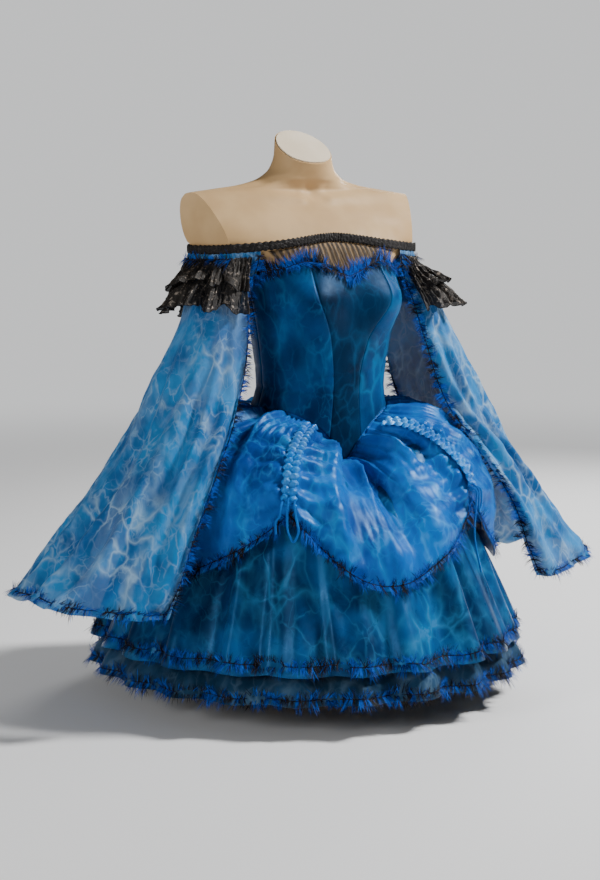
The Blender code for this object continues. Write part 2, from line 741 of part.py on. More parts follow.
def hanging_way(way, turn, drop):
    """Points of a cord that hangs a given drop below its casing."""
    exit_height = float(cord_stop(turn, 0.0, 0.0)[2])
    points = []
    for row in way:
        height = exit_height - row.share * drop - row.drop
        points.append(beside_skirt(turn + row.aside, height, row.clear))
    return points


def cord_route(points):
    """Even points on a smooth curve through the route's own points."""
    points = np.array(points)
    steps = np.linalg.norm(np.diff(points, axis=0), axis=1)
    keys = np.concatenate(([0.0], np.cumsum(steps)))
    stops = np.linspace(0, keys[-1], max(6, round(keys[-1] / CORD_SPACING)))
    return np.stack([natural_curve(keys, points[:, axis], stops) for axis in range(3)], axis=-1)


def natural_curve(keys, values, at):
    """A smooth curve through the route's points, with slopes from each point's neighbours."""
    slopes = np.gradient(values, keys)
    row = np.clip(np.searchsorted(keys, at, side="right") - 1, 0, len(keys) - 2)
    span = keys[row + 1] - keys[row]
    share = (at - keys[row]) / span
    rise = share * share * (3 - 2 * share)
    leaving = share * (1 - share) ** 2 * span * slopes[row]
    arriving = share * share * (share - 1) * span * slopes[row + 1]
    return values[row] * (1 - rise) + values[row + 1] * rise + leaving + arriving


def drawstring(index, row):
    """A loop with both ends at the casing, and a tail that hangs free."""
    loop = [cord_stop(row.turn, 0.0, CORD_START)]
    loop += hanging_way(LOOP_WAY, row.turn, row.loop_drop)
    loop.append(cord_stop(row.turn, CORD_APART, CORD_START))
    tail = [cord_stop(row.turn, -CORD_APART, CORD_START)]
    tail += hanging_way(TAIL_WAY, row.turn, row.tail_drop)
    cord("drawstring_loop_" + str(index), cord_route(loop))
    cord("drawstring_tail_" + str(index), cord_route(tail))


# Fringe

def variation(index, salt):
    """A repeatable uneven value between -1 and 1."""
    return math.sin(index * 12.9898 + salt * 78.233) * math.cos(index * 4.137 + salt * 3.1)


def along_row(row, columns, every, first=0):
    """Stops along a grid's row: a lock's root at every so many columns, and bare strip between them."""
    stops = []
    for number in range(columns):
        has_lock = number % every == first
        stops.append((row, number, has_lock))
        if has_lock:
            stops.append((row, number + LOCK_SHARE, False))
    return stops


def fringe(name, grid, stops, thickness, lean, length=LOCK_LENGTH, closed=False, off=STRIP_OFF_CLOTH):
    """A strip of three-sided section on a cloth's outer face, with locks that stand off it.

    Stops are grid rows and columns, and whether a lock starts there. Its turned side is away from
    the cloth, beyond the edge that the strip follows; locks point that way and back by turns.
    """
    normal_grid = grid_normals(grid, closed)
    normals = np.array([at_grid(normal_grid, row, place) for row, place, _ in stops])
    normals = normals / np.linalg.norm(normals, axis=1, keepdims=True)
    points = np.array([at_grid(grid, row, place) for row, place, _ in stops])
    points = points + normals * (thickness + off)
    before = np.roll(points, 1, axis=0)
    after = np.roll(points, -1, axis=0)
    if not closed:
        before[0] = points[0]
        after[-1] = points[-1]
    along = (after - before) / np.linalg.norm(after - before, axis=1, keepdims=True)
    away = np.cross(along, normals)
    inner = points - away * STRIP_HALF_WIDTH
    outer = points + away * STRIP_HALF_WIDTH
    ridge = points + normals * STRIP_DEPTH
    mesh = bmesh.new()
    rings = [[mesh.verts.new(corner) for corner in corners] for corners in zip(inner, outer, ridge)]
    number = 0
    for index in range(len(stops) if closed else len(stops) - 1):
        after_index = (index + 1) % len(stops)
        first = rings[index]
        second = rings[after_index]
        mesh.faces.new((first[1], second[1], second[0], first[0]))
        faces = {
            1: mesh.faces.new((first[2], second[2], second[1], first[1])),
            -1: mesh.faces.new((first[0], second[0], second[2], first[2])),
        }
        if not stops[index][2]:
            continue
        number += 1
        way = 1 if number % 2 else -1
        direction = way * away[index] + lean * normals[index] + 0.35 * variation(number, 1) * along[index]
        reach = length * (0.86 + 0.14 * variation(number, 2)) / np.linalg.norm(direction)
        tip = bmesh.ops.poke(mesh, faces=[faces[way]])["verts"][0]
        tip.co = Vector((ridge[index] + ridge[after_index]) / 2 + direction * reach)
    if not closed:
        mesh.faces.new((rings[0][0], rings[0][2], rings[0][1]))
        mesh.faces.new((rings[-1][0], rings[-1][1], rings[-1][2]))
    bmesh.ops.recalc_face_normals(mesh, faces=mesh.faces)
    add_mesh(name, mesh, FINISH["fringe"])


def hem_fringes():
    turns = closed_turns(-90, SKIRT_COLUMNS)
    stops = along_row(HEM_FRINGE_ROW, SKIRT_COLUMNS, 2)
    fringe("fringe_skirt_hem", skirt_grid(turns), stops, SHEER_CLOTH, 0.55, closed=True)
    fringe("fringe_flounce_hem", flounce_grid(turns), stops, SHEER_CLOTH, 0.55, closed=True)
    stops = along_row(HEM_FRINGE_ROW, SCALLOPS * COLUMNS_A_SCALLOP, 2, first=1)
    fringe("fringe_overskirt_hem", OVERSKIRT_ALL_ROUND[0], stops, SHEER_CLOTH, 0.9, closed=True)


def sleeve_fringe(side, name):
    """Down one edge, along the hem and up the other edge, in one strip."""
    last = SLEEVE_COLUMNS
    margin = 0.15
    stops = [(row, margin, row > 1) for row in range(SLEEVE_FRINGE_FROM_ROW, 0, -1)]
    stops += [(HEM_FRINGE_ROW, place, True) for place in range(1, last - 1)]
    stops.append((HEM_FRINGE_ROW, last - 1, False))
    stops += [(row, last - margin, True) for row in range(1, SLEEVE_FRINGE_FROM_ROW + 1)]
    narrow = []
    for first, second in zip(stops, stops[1:]):
        narrow.append(first)
        if first[2]:
            row = blend(first[0], second[0], LOCK_SHARE)
            narrow.append((row, blend(first[1], second[1], LOCK_SHARE), False))
    narrow.append((*stops[-1][:2], False))
    grid = sleeve_grid(side)
    fringe("fringe_sleeve_" + name, grid, narrow, SHEER_CLOTH, 1.0, length=0.018, off=STRIP_OFF_TWISTED)


def shoulder_fringe(side, name):
    """On the upper ruffle, just under the band."""
    stops = along_row(SHOULDER_FRINGE_ROW, RUFFLE_COLUMNS, 4, first=1)[1:]
    grid = ruffle_grid(side, RUFFLES[0])
    fringe("fringe_shoulder_" + name, grid, stops, SHEER_CLOTH, 2.0, length=0.014, off=STRIP_OFF_TWISTED)


def neckline_fringe(grid):
    row = len(grid) - 1 - NECKLINE_FRINGE_BELOW
    stops = along_row(row, grid.shape[1] - 1, 1)
    fringe("fringe_neckline", grid, stops, BODICE_CLOTH, 1.0, length=0.015)


# Form and its neck cap

def form():
    """A loft of closed sections, cut flat at the arms and the neck."""
    levels = sorted([row.height for row in FORM] + list(FORM_BETWEEN))
    turns = closed_turns(0, FORM_SIDES)
    mesh = bmesh.new()
    rings = []
    for height in levels:
        points = polar(turns, form_radius(turns, height), height, form_centre(height))
        rings.append([mesh.verts.new(point) for point in points])
    for lower, upper in zip(rings, rings[1:]):
        for index in range(FORM_SIDES):
            after = (index + 1) % FORM_SIDES
            mesh.faces.new((lower[index], lower[after], upper[after], upper[index]))
    mesh.faces.new(rings[0][::-1])
    mesh.faces.new(rings[-1])
    neck_normal = Vector((0, -math.sin(NECK_CUT_TILT), math.cos(NECK_CUT_TILT)))
    neck_middle = Vector((0, float(form_centre(NECK_CUT_HEIGHT)), NECK_CUT_HEIGHT))
    cut_flat(mesh, Vector((PLATE_X, PLATE_Y, PLATE_HEIGHT)), plate_normal(1), PLATE_CUTS_ABOVE)
    cut_flat(mesh, Vector((-PLATE_X, PLATE_Y, PLATE_HEIGHT)), plate_normal(-1), PLATE_CUTS_ABOVE)
    neck_cap(cut_flat(mesh, neck_middle, neck_normal, PLATE_HEIGHT), neck_normal)
    bmesh.ops.recalc_face_normals(mesh, faces=mesh.faces)
    add_mesh("dress_form", mesh, FINISH["cream"])


def cut_flat(mesh, point, normal, above):
    """Cuts away what lies beyond a plane, higher up than a given height, and closes the cut.

    It returns the flat face that closes it.
    """
    verts = [vert for vert in mesh.verts if vert.co.z > above]
    edges = [edge for edge in mesh.edges if min(vert.co.z for vert in edge.verts) > above]
    faces = [face for face in mesh.faces if min(vert.co.z for vert in face.verts) > above]
    part = verts + edges + faces
    bmesh.ops.bisect_plane(mesh, geom=part, dist=1e-6, plane_co=point, plane_no=normal, clear_outer=True)
    rim = [edge for edge in mesh.edges if edge.is_boundary]
    return bmesh.ops.contextual_create(mesh, geom=rim)["faces"][0]


def neck_cap(face, normal):
    """A thin plate on the neck's cut, its outline drawn in a little from the cut's rim."""
    middle = face.calc_center_median()
    mesh = bmesh.new()
    ring = [mesh.verts.new(middle + (vert.co - middle) * CAP_INSET + normal * SEAM_GAP) for vert in face.verts]
    plate = mesh.faces.new(ring)
    raised = bmesh.ops.extrude_face_region(mesh, geom=[plate])["geom"]
    moved = [item for item in raised if isinstance(item, bmesh.types.BMVert)]
    bmesh.ops.translate(mesh, verts=moved, vec=normal * CAP_DEPTH)
    bmesh.ops.recalc_face_normals(mesh, faces=mesh.faces)
    add_mesh("neck_cap", mesh, FINISH["cream"])


# Objects

def material(name, colour, roughness):
    made = bpy.data.materials.new(name)
    made.use_nodes = True
    shader = made.node_tree.nodes["Principled BSDF"]
    shader.inputs["Base Color"].default_value = (*colour, 1.0)
    shader.inputs["Roughness"].default_value = roughness
    shader.inputs["Metallic"].default_value = 0.0
    made.diffuse_color = (*colour, 1.0)
    return made


def add_object(name, data, finish):
    made = bpy.data.objects.new(name, data)
    data.materials.append(finish)
    DRESS.objects.link(made)
    return made


def add_mesh(name, mesh, finish):
    data = bpy.data.meshes.new(name)
    mesh.to_mesh(data)
    mesh.free()
    made = add_object(name, data, finish)
    data.shade_smooth()
    data.set_sharp_from_angle(angle=math.radians(40))
    return made


def cloth(name, grid, thickness, finish, closed=False):
    """A cloth wall on a grid of points, thickened outwards."""
    rows, columns = grid.shape[:2]
    mesh = bmesh.new()
    verts = [[mesh.verts.new(point) for point in row] for row in grid]
    for row in range(rows - 1):
        for index in range(columns if closed else columns - 1):
            after = (index + 1) % columns
            mesh.faces.new((verts[row][index], verts[row][after], verts[row + 1][after], verts[row + 1][index]))
    made = add_mesh(name, mesh, finish)
    wall = made.modifiers.new("wall", "SOLIDIFY")
    wall.thickness = thickness
    wall.offset = 1.0
    wall.use_even_offset = False
    return made


def cord(name, points):
    data = bpy.data.curves.new(name, "CURVE")
    data.dimensions = "3D"
    data.bevel_depth = CORD_RADIUS
    data.bevel_resolution = 2
    data.use_fill_caps = True
    spline = data.splines.new("POLY")
    spline.points.add(len(points) - 1)
    for place, point in zip(spline.points, points):
        place.co = (*point, 1.0)
    return add_object(name, data, FINISH["bright"])


def clear_scene():
    for item in list(bpy.data.objects):
        bpy.data.objects.remove(item, do_unlink=True)


# The whole dress

clear_scene()
DRESS = bpy.data.collections.new("off_shoulder_dress")
bpy.context.scene.collection.children.link(DRESS)
FINISH = {
    "cream": material("cream_form", CREAM, 0.45),
    "teal": material("teal_satin", TEAL, 0.35),
    "bright": material("bright_blue_organza", BRIGHT_BLUE, 0.40),
    "skirt": material("deep_blue_organza", SKIRT_BLUE, 0.40),
    "sky": material("sky_blue_organza", SKY_BLUE, 0.40),
    "fringe": material("royal_blue_fringe", ROYAL_BLUE, 0.85),
    "charcoal": material("charcoal_chiffon", CHARCOAL, 0.80),
}

OVERSKIRT_ALL_ROUND = whole_overskirt()

form()
neckline_band()
yoke("yoke_front", 0.0)
yoke("yoke_back", math.pi)
upper_edge = bodice()
overskirt("overskirt_front", -108, 108)
overskirt("overskirt_back", 108, 252)
skirt("skirt_front", -90, 90)
skirt("skirt_back", 90, 270)
flounce("flounce_front", -90, 90)
flounce("flounce_back", 90, 270)
for number, casing_turn in enumerate(CASING_TURNS, start=1):
    casing(number, casing_turn)
for number, string in enumerate(DRAWSTRINGS, start=1):
    drawstring(number, string)
for hand, hand_name in ((1, "left"), (-1, "right")):
    sleeve(hand, hand_name)
    for tier in RUFFLES:
        ruffle(hand, hand_name, tier)
    sleeve_fringe(hand, hand_name)
    shoulder_fringe(hand, hand_name)
neckline_fringe(upper_edge)
hem_fringes()
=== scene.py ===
# Looks of the off-shoulder dress on its limbless dress form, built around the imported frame.
#
# Metres, +Z up, in the frame's own axes. The shape tables and functions are those of the part's
# source, read at a finer spacing; folds, crinkles, ruching and threads are added on top of them.

import math
from collections import namedtuple

import bmesh
import bpy
import numpy as np
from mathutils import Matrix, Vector


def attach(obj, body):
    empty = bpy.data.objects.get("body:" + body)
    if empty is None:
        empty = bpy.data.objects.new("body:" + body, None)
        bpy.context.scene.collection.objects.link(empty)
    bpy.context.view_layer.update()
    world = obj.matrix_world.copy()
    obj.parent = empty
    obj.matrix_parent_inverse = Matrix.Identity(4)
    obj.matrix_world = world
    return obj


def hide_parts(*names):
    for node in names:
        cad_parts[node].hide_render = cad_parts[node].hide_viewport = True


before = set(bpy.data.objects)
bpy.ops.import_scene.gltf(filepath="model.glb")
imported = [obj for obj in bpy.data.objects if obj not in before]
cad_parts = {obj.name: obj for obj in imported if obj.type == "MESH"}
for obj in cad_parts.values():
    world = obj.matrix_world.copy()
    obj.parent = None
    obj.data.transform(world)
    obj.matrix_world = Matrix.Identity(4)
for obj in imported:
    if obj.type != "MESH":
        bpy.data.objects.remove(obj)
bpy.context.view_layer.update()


def table(fields, *rows):
    """Rows of values with named fields."""
    kind = namedtuple("Row", fields)
    return [kind(*row) for row in rows]


# Cloth and seams

SEAM_GAP = 0.0004
BODICE_CLOTH = 0.0015
SHEER_CLOTH = 0.0012
BAND_EASE = 0.0007
BODICE_EASE = 0.0062
YOKE_EASE = 0.0022
OVERSKIRT_EASE = 0.0037
SKIRT_EASE = 0.0014
TUCK = 0.005
WAIST_RADIUS = 0.10
FORM_REACH_MOST = 0.40
HALVINGS = 24
WAVE_PACES = (0.6, 1.9)
FULL_TURN = 2 * math.pi

# The form, by horizontal sections from the base up

FORM = table(
    "height half_width front back centre_y",
    (0.000, 0.150, 0.100, 0.100, 0.000),
    (0.120, 0.160, 0.108, 0.108, 0.000),
    (0.260, 0.166, 0.112, 0.115, -0.005),
    (0.360, 0.158, 0.106, 0.113, -0.018),
    (0.450, 0.133, 0.092, 0.098, -0.038),
    (0.540, 0.109, 0.082, 0.082, -0.052),
    (0.600, 0.115, 0.087, 0.090, -0.054),
    (0.680, 0.127, 0.094, 0.104, -0.050),
    (0.735, 0.141, 0.095, 0.100, -0.035),
    (0.752, 0.168, 0.098, 0.090, -0.020),
    (0.766, 0.210, 0.100, 0.084, -0.008),
    (0.785, 0.245, 0.096, 0.078, 0.004),
    (0.820, 0.262, 0.078, 0.068, 0.012),
    (0.845, 0.255, 0.058, 0.058, 0.016),
    (0.860, 0.228, 0.043, 0.046, 0.018),
    (0.869, 0.170, 0.038, 0.042, 0.018),
    (0.876, 0.120, 0.040, 0.043, 0.018),
    (0.888, 0.080, 0.044, 0.046, 0.016),
    (0.906, 0.058, 0.047, 0.049, 0.012),
    (0.930, 0.050, 0.049, 0.050, 0.008),
    (0.990, 0.049, 0.050, 0.050, 0.004),
)

# Rounded fullness at the bust, the same on both sides
BUST_TURN = math.radians(36)
BUST_SPREAD = math.radians(25)
BUST_HEIGHT = 0.682
BUST_RISE = 0.052
BUST_FULLNESS = 0.033

# Flat plates where the arms and the neck end
PLATE_X = 0.205
PLATE_Y = 0.012
PLATE_HEIGHT = 0.815
PLATE_FORWARD = math.radians(14)
PLATE_DOWN = math.radians(8)
PLATE_LEAST_SLOPE = 0.2
PLATE_CUTS_ABOVE = 0.700
NECK_CUT_HEIGHT = 0.940
NECK_CUT_TILT = math.radians(33)

# Neckline band and yoke

BAND_HEIGHT_FRONT = 0.781
BAND_DROP_AT_ARMS = 0.021
BAND_CENTRE_Y = -0.004
BAND_REACH_TURN = math.radians(2.5)
BAND_WIDTH = 0.014
BAND_WAVES = 30
YOKE_TURN = math.radians(55)
YOKE_WAVES = 12
YOKE_RIPPLE = 0.0022
YOKE_BELOW_BAND = 0.0016

# Bodice edges and seams: turns in degrees from the front

BODICE_TOP = table(
    "turn height",
    (0, 0.7310),
    (14, 0.7400),
    (34, 0.7540),
    (55, 0.7430),
    (90, 0.7340),
    (180, 0.7290),
)
BODICE_BOTTOM = table(
    "turn height",
    (0, 0.410),
    (18, 0.452),
    (38, 0.480),
    (62, 0.497),
    (90, 0.500),
    (180, 0.492),
)
PRINCESS_SEAM = table(
    "height turn",
    (0.400, 19),
    (0.540, 16),
    (0.620, 21),
    (0.690, 31),
    (0.760, 35),
)
SIDE_SEAM_TURN = 88
BACK_SEAM_TURN = 180

# Sleeves, by horizontal sections: an open oval whose gap faces the body

SLEEVE = table(
    "height centre_x centre_y half_width half_depth front_angle back_angle",
    (0.200, 0.392, -0.040, 0.165, 0.152, 99, 92),
    (0.245, 0.366, -0.040, 0.142, 0.154, 99, 90),
    (0.329, 0.320, -0.040, 0.116, 0.150, 95, 84),
    (0.417, 0.276, -0.040, 0.096, 0.128, 99, 78),
    (0.504, 0.240, -0.040, 0.086, 0.098, 112, 98),
    (0.592, 0.210, -0.046, 0.071, 0.077, 116, 112),
    (0.680, 0.186, -0.034, 0.056, 0.064, 116, 116),
    (0.766, 0.172, -0.006, 0.045, 0.060, 116, 116),
)
SLEEVE_TOP_FRONT = math.radians(58)
SLEEVE_TOP_BACK = math.radians(122)
SLEEVE_BELOW_BAND = 0.0006
SLEEVE_CAP_DEPTH = 0.16
SLEEVE_HEM_FRONT = 0.188
SLEEVE_HEM_TIP = 0.212
SLEEVE_FOLDS = 4
SLEEVE_FOLDS_FROM = 0.15
SLEEVE_FOLDS_OVER = 0.6
SLEEVE_FOLD_DEPTH = 0.006

# Shoulder ruffles: share of the sleeve's length at the sewn edge and at the hem

RUFFLES = table(
    "name sewn hem lift_sewn lift_hem",
    ("upper", 0.014, 0.114, 0.0008, 0.026),
    ("lower", 0.066, 0.176, 0.0008, 0.030),
)
RUFFLE_WAVES = 8
RUFFLE_WAVE_DEPTH = 0.007
RUFFLE_START = 0.06

# Overskirt: gathered to the bodice, drawn up by five casings into five scallops

SCALLOPS = 5
SCALLOP_TURN = 360 / SCALLOPS
CASING_TURNS = (-36, 36, 108, 180, 252)
OVERSKIRT_SEAM_TURN = 108
SCALLOP_LOW = 0.224
SCALLOP_PEAK = 0.343
SCALLOP_SKEW = 0.11
OVERSKIRT_PEAK_RADIUS = 0.300
OVERSKIRT_LOW_RADIUS = 0.330
OVERSKIRT_HEM_CENTRE_Y = -0.010
OVERSKIRT_PUFF = 0.010
OVERSKIRT_FRONT_TURN = math.radians(32)
OVERSKIRT_FRONT_FALL = 0.40
OVERSKIRT_SHARES = (0.20, 0.36, 0.54, 0.76, 1.0)
OVERSKIRT_SEAM_ROWS = ((0.85, 0.0080), (0.45, 0.0004))
GATHERS_A_SCALLOP = 4
GATHER_DEPTH = 0.0050
COLUMNS_A_SCALLOP = 12

# Skirt and inner flounce, by height of the mean surface

SKIRT = table(
    "height radius",
    (0.030, 0.391),
    (0.110, 0.362),
    (0.170, 0.336),
    (0.224, 0.312),
    (0.300, 0.283),
    (0.360, 0.253),
    (0.450, 0.200),
    (0.500, 0.150),
)
SKIRT_HEM = 0.098
SKIRT_LEAVES_SHARE = 1.05
SKIRT_LEAVES_BELOW = 0.003
SKIRT_FOLDS = 22
SKIRT_FOLD_DEPTH = 0.0095
SKIRT_FOLD_MOST = 1.40
SKIRT_FOLD_START = 0.460
SKIRT_FOLD_OVER = 0.33
SKIRT_BELOW_OVERSKIRT = 0.015
FREE_RADIUS = 1.0
SKIRT_DROPS = (0.001, 0.026, 0.085)
SKIRT_TURNS_OUT_OVER = 0.030
SKIRT_SHARES = (0.50, 1.0)
FLOUNCE_SEAM_ROW = 1
FLOUNCE_SEWN_IN = 0.0021
FLOUNCE_SET_IN = 0.0125
FLOUNCE_HEIGHTS = (0.136, 0.052)

# Casings and their drawstrings

CASING_WIDTH = 0.024
CASING_LOW_ROW = 0.40
CASING_OFF = 0.0014
CASING_RIPPLE_DEPTH = 0.0016
CORD_EXIT_ROW = 0.70
CORD_RADIUS = 0.0018
CORD_START = 0.0010
CORD_BEYOND_CASING = 0.012
CORD_CLEAR = 0.002
DRAWSTRINGS = table(
    "turn loop_drop tail_drop",
    (-36, 0.072, 0.060),
    (36, 0.052, 0.150),
    (180, 0.062, 0.090),
)
# A drawstring's way: degrees beside its casing, share of its whole drop, a further drop, and its clearance
LOOP_WAY = table(
    "aside share drop clear",
    (-0.1, 0.0, 0.014, 0.003),
    (-0.2, 0.0, 0.032, 0.004),
    (0.2, 1.0, -0.014, 0.003),
    (1.6, 1.0, 0.000, 0.003),
    (3.0, 1.0, -0.014, 0.003),
    (2.4, 0.0, 0.032, 0.004),
    (1.9, 0.0, 0.014, 0.003),
)
TAIL_WAY = table(
    "aside share drop clear",
    (-2.0, 0.0, 0.014, 0.003),
    (-2.5, 0.0, 0.032, 0.004),
    (-3.2, 0.6, 0.000, 0.003),
    (-3.6, 1.0, 0.000, 0.003),
)
CORD_APART = 0.009


# Tables read as smooth curves

def between_rows(values, slopes, row, share, span=1.0):
    """Between rows of values, on smooth curves with the given slopes at the rows."""
    rise = share * share * (3 - 2 * share)
    leaving = share * (1 - share) ** 2 * span * slopes[row]
    arriving = share * share * (share - 1) * span * slopes[row + 1]
    return values[row] * (1 - rise) + values[row + 1] * rise + leaving + arriving


def read_curve(keys, values, slopes, at):
    """Values at the places asked for, on a smooth curve through the rows."""
    row = np.clip(np.searchsorted(keys, at, side="right") - 1, 0, len(keys) - 2)
    span = keys[row + 1] - keys[row]
    return between_rows(values, slopes, row, (at - keys[row]) / span, span)


def column(table, field, at):
    """One column of a table over its first one, on a smooth curve that never overshoots its rows."""
    keys = np.array([row[0] for row in table], dtype=float)
    values = np.array([getattr(row, field) for row in table], dtype=float)
    secants = np.diff(values) / np.diff(keys)
    product = secants[:-1] * secants[1:]
    total = np.where(product > 0, secants[:-1] + secants[1:], 1.0)
    slopes = np.concatenate(([secants[0]], np.where(product > 0, 2 * product / total, 0.0), [secants[-1]]))
    return read_curve(keys, values, slopes, np.clip(at, keys[0], keys[-1]))


def ease_in(share):
    """A smooth step from 0 to 1."""
    share = np.clip(share, 0.0, 1.0)
    return share * share * (3 - 2 * share)


def within(value, low, rise, high, fall):
    """1 inside two limits and 0 outside, eased in over a rise and out over a fall."""
    return ease_in((value - low) / rise) * ease_in((high - value) / fall)


def wavy(at, count, bend, bends, phase=0.0):
    """The angle of waves that crowd and open unevenly along their way."""
    return count * at + bend * np.sin(bends * at + phase)


def blend(first, second, share):
    return first + (second - first) * share


def wrapped(turn):
    """The same turn between minus and plus half a circle."""
    return (turn + math.pi) % FULL_TURN - math.pi


def unit(vectors):
    return vectors / np.linalg.norm(vectors, axis=-1, keepdims=True)


# Grids of points: rows from the bottom up, columns with growing turn

def grid_normals(grid, closed=False):
    """Unit vectors that point out of the cloth at each point of a grid."""
    if closed:
        along = np.roll(grid, -1, axis=1) - np.roll(grid, 1, axis=1)
    else:
        along = np.gradient(grid, axis=1)
    return unit(np.cross(along, np.gradient(grid, axis=0)))


def at_grid(grid, row, place):
    """A point between a grid's rows and columns, on the flat faces that join them."""
    low = min(int(row), len(grid) - 2)
    first = int(math.floor(place))
    total = grid.shape[1]
    lower = blend(grid[low][first % total], grid[low][(first + 1) % total], place - first)
    upper = blend(grid[low + 1][first % total], grid[low + 1][(first + 1) % total], place - first)
    return blend(lower, upper, row - low)


# Body shape that the form and the cloth share

def form_centre(height):
    return column(FORM, "centre_y", height)


def form_radius(turn, height):
    """Distance from the section's centre to the form, before the arms are cut off."""
    half_width, front, back = (column(FORM, field, height) for field in ("half_width", "front", "back"))
    depth = np.where(np.cos(turn) > 0, front, back)
    radius = 1 / np.sqrt((np.sin(turn) / half_width) ** 2 + (np.cos(turn) / depth) ** 2)
    level = np.exp(-((height - BUST_HEIGHT) / BUST_RISE) ** 2)
    for side in (-1, 1):
        off = wrapped(turn - side * BUST_TURN)
        radius = radius + BUST_FULLNESS * level * np.exp(-(off / BUST_SPREAD) ** 2)
    return radius


def plate_normal(side):
    flat = math.cos(PLATE_DOWN)
    return Vector((side * math.cos(PLATE_FORWARD) * flat, -math.sin(PLATE_FORWARD) * flat, -math.sin(PLATE_DOWN)))


def cut_radius(turn, height):
    """The form's radius with the arms cut off at their plates."""
    radius = form_radius(turn, height)
    for side in (-1, 1):
        normal = plate_normal(side)
        towards = normal.x * np.sin(turn) - normal.y * np.cos(turn)
        reach = normal.x * side * PLATE_X + normal.y * (PLATE_Y - form_centre(height))
        reach = reach + normal.z * (PLATE_HEIGHT - height)
        faces_plate = (towards > PLATE_LEAST_SLOPE) & (height > PLATE_CUTS_ABOVE)
        limit = reach / np.where(faces_plate, towards, 1.0)
        radius = np.where(faces_plate, np.minimum(radius, limit), radius)
    return radius


def polar(turn, radius, height, centre_y):
    """Points from turns, radii, heights and section centres."""
    x = radius * np.sin(turn)
    y = centre_y - radius * np.cos(turn)
    return np.stack(np.broadcast_arrays(x, y, height), axis=-1)


def reach_from(turn, height, centre):
    """Distance to the cut form from any centre on the middle plane, found by halving."""
    near = np.zeros(np.broadcast(turn, height, centre).shape)
    far = np.full_like(near, FORM_REACH_MOST)
    for _ in range(HALVINGS):
        middle = (near + far) / 2
        x = middle * np.sin(turn)
        y = form_centre(height) - centre + middle * np.cos(turn)
        outside = np.hypot(x, y) > cut_radius(np.arctan2(x, y), height)
        far = np.where(outside, middle, far)
        near = np.where(outside, near, middle)
    return near


# Neckline

def band_bottom(turn):
    return BAND_HEIGHT_FRONT - BAND_DROP_AT_ARMS * np.sin(turn) ** 2


def band_radius(turn):
    """Inner radius of the band: it holds the widest part of the form at its own height."""
    low = band_bottom(turn)
    reaches = []
    for aside in (-BAND_REACH_TURN, 0.0, BAND_REACH_TURN):
        for share in (0.0, 0.5, 1.0):
            reaches.append(reach_from(turn + aside, low + share * BAND_WIDTH, BAND_CENTRE_Y))
    return np.max(reaches, axis=0) + BAND_EASE


# Bodice

def bodice_edge(table, turn):
    return column(table, "height", np.degrees(np.abs(wrapped(turn))))


def bodice_radius(turn, height):
    return cut_radius(turn, height) + BODICE_EASE


def princess(side):
    return lambda height: side * np.radians(column(PRINCESS_SEAM, "turn", height))


def straight_seam(turn):
    return lambda height: math.radians(turn) + 0 * np.asarray(height)


# Sleeves and shoulder ruffles

def sleeve_point(side, across, down):
    """A point of a sleeve: across from its front edge to its back edge, down from the band to the hem."""
    nominal = blend(SLEEVE[-1].height, SLEEVE[0].height, down)
    read = [column(SLEEVE, field, nominal) for field in SLEEVE[0]._fields[1:]]
    centre_x, centre_y, half_width, half_depth, front_angle, back_angle = read
    angle = (2 * across - 1) * np.radians(np.where(across < 0.5, front_angle, back_angle))
    fold = SLEEVE_FOLD_DEPTH * ease_in((down - SLEEVE_FOLDS_FROM) / SLEEVE_FOLDS_OVER)
    fold = fold * np.sin(FULL_TURN * SLEEVE_FOLDS * across)
    x = centre_x + (half_width + fold) * np.cos(angle)
    y = centre_y + (half_depth + fold) * np.sin(angle)
    turn = blend(SLEEVE_TOP_FRONT, SLEEVE_TOP_BACK, across)
    at_band = polar(turn, band_radius(turn), band_bottom(turn) - SLEEVE_BELOW_BAND, BAND_CENTRE_Y)
    settled = ease_in(down / SLEEVE_CAP_DEPTH)
    x = blend(at_band[..., 0], x, settled)
    y = blend(at_band[..., 1], y, settled)
    tip = np.sin(math.pi * np.clip(across, 0, 1)) ** 2
    hem = blend(SLEEVE_HEM_FRONT, SLEEVE_HEM_TIP, tip)
    height = blend(at_band[..., 2], hem, down)
    return np.stack((side * x, y, height), axis=-1)


# Overskirt

def scallop(turn):
    """1 at the lowest point of each scallop, a little to its right, and 0 at each casing."""
    skewed = turn + SCALLOP_SKEW * np.cos(SCALLOPS * turn / 2) ** 2
    return np.abs(np.cos(SCALLOPS * skewed / 2))


def overskirt_hem(turn):
    return SCALLOP_PEAK - (SCALLOP_PEAK - SCALLOP_LOW) * scallop(turn)


def overskirt_mean(turn, share):
    """Radius, height and centre of the smooth overskirt, from its gathered edge down to its hem.

    It stands out almost level at the sides and falls more steeply below the bodice's front point.
    """
    front = np.exp(-(wrapped(turn) / OVERSKIRT_FRONT_TURN) ** 2)
    top = bodice_edge(BODICE_BOTTOM, turn)
    start = bodice_radius(turn, top) - BODICE_EASE + OVERSKIRT_EASE
    hem_radius = blend(OVERSKIRT_PEAK_RADIUS, OVERSKIRT_LOW_RADIUS, scallop(turn))
    arc = share * math.pi / 2
    out = np.sin(arc) ** (0.9 + 0.4 * front)
    radius = blend(start, hem_radius, out) + OVERSKIRT_PUFF * scallop(turn) * np.sin(2 * arc) * (1 - front)
    fall = blend(1 - np.cos(arc), share, OVERSKIRT_FRONT_FALL * front)
    height = top - (top - overskirt_hem(turn)) * fall
    centre = blend(form_centre(top), OVERSKIRT_HEM_CENTRE_Y, ease_in(share * 1.6))
    return radius, height, centre


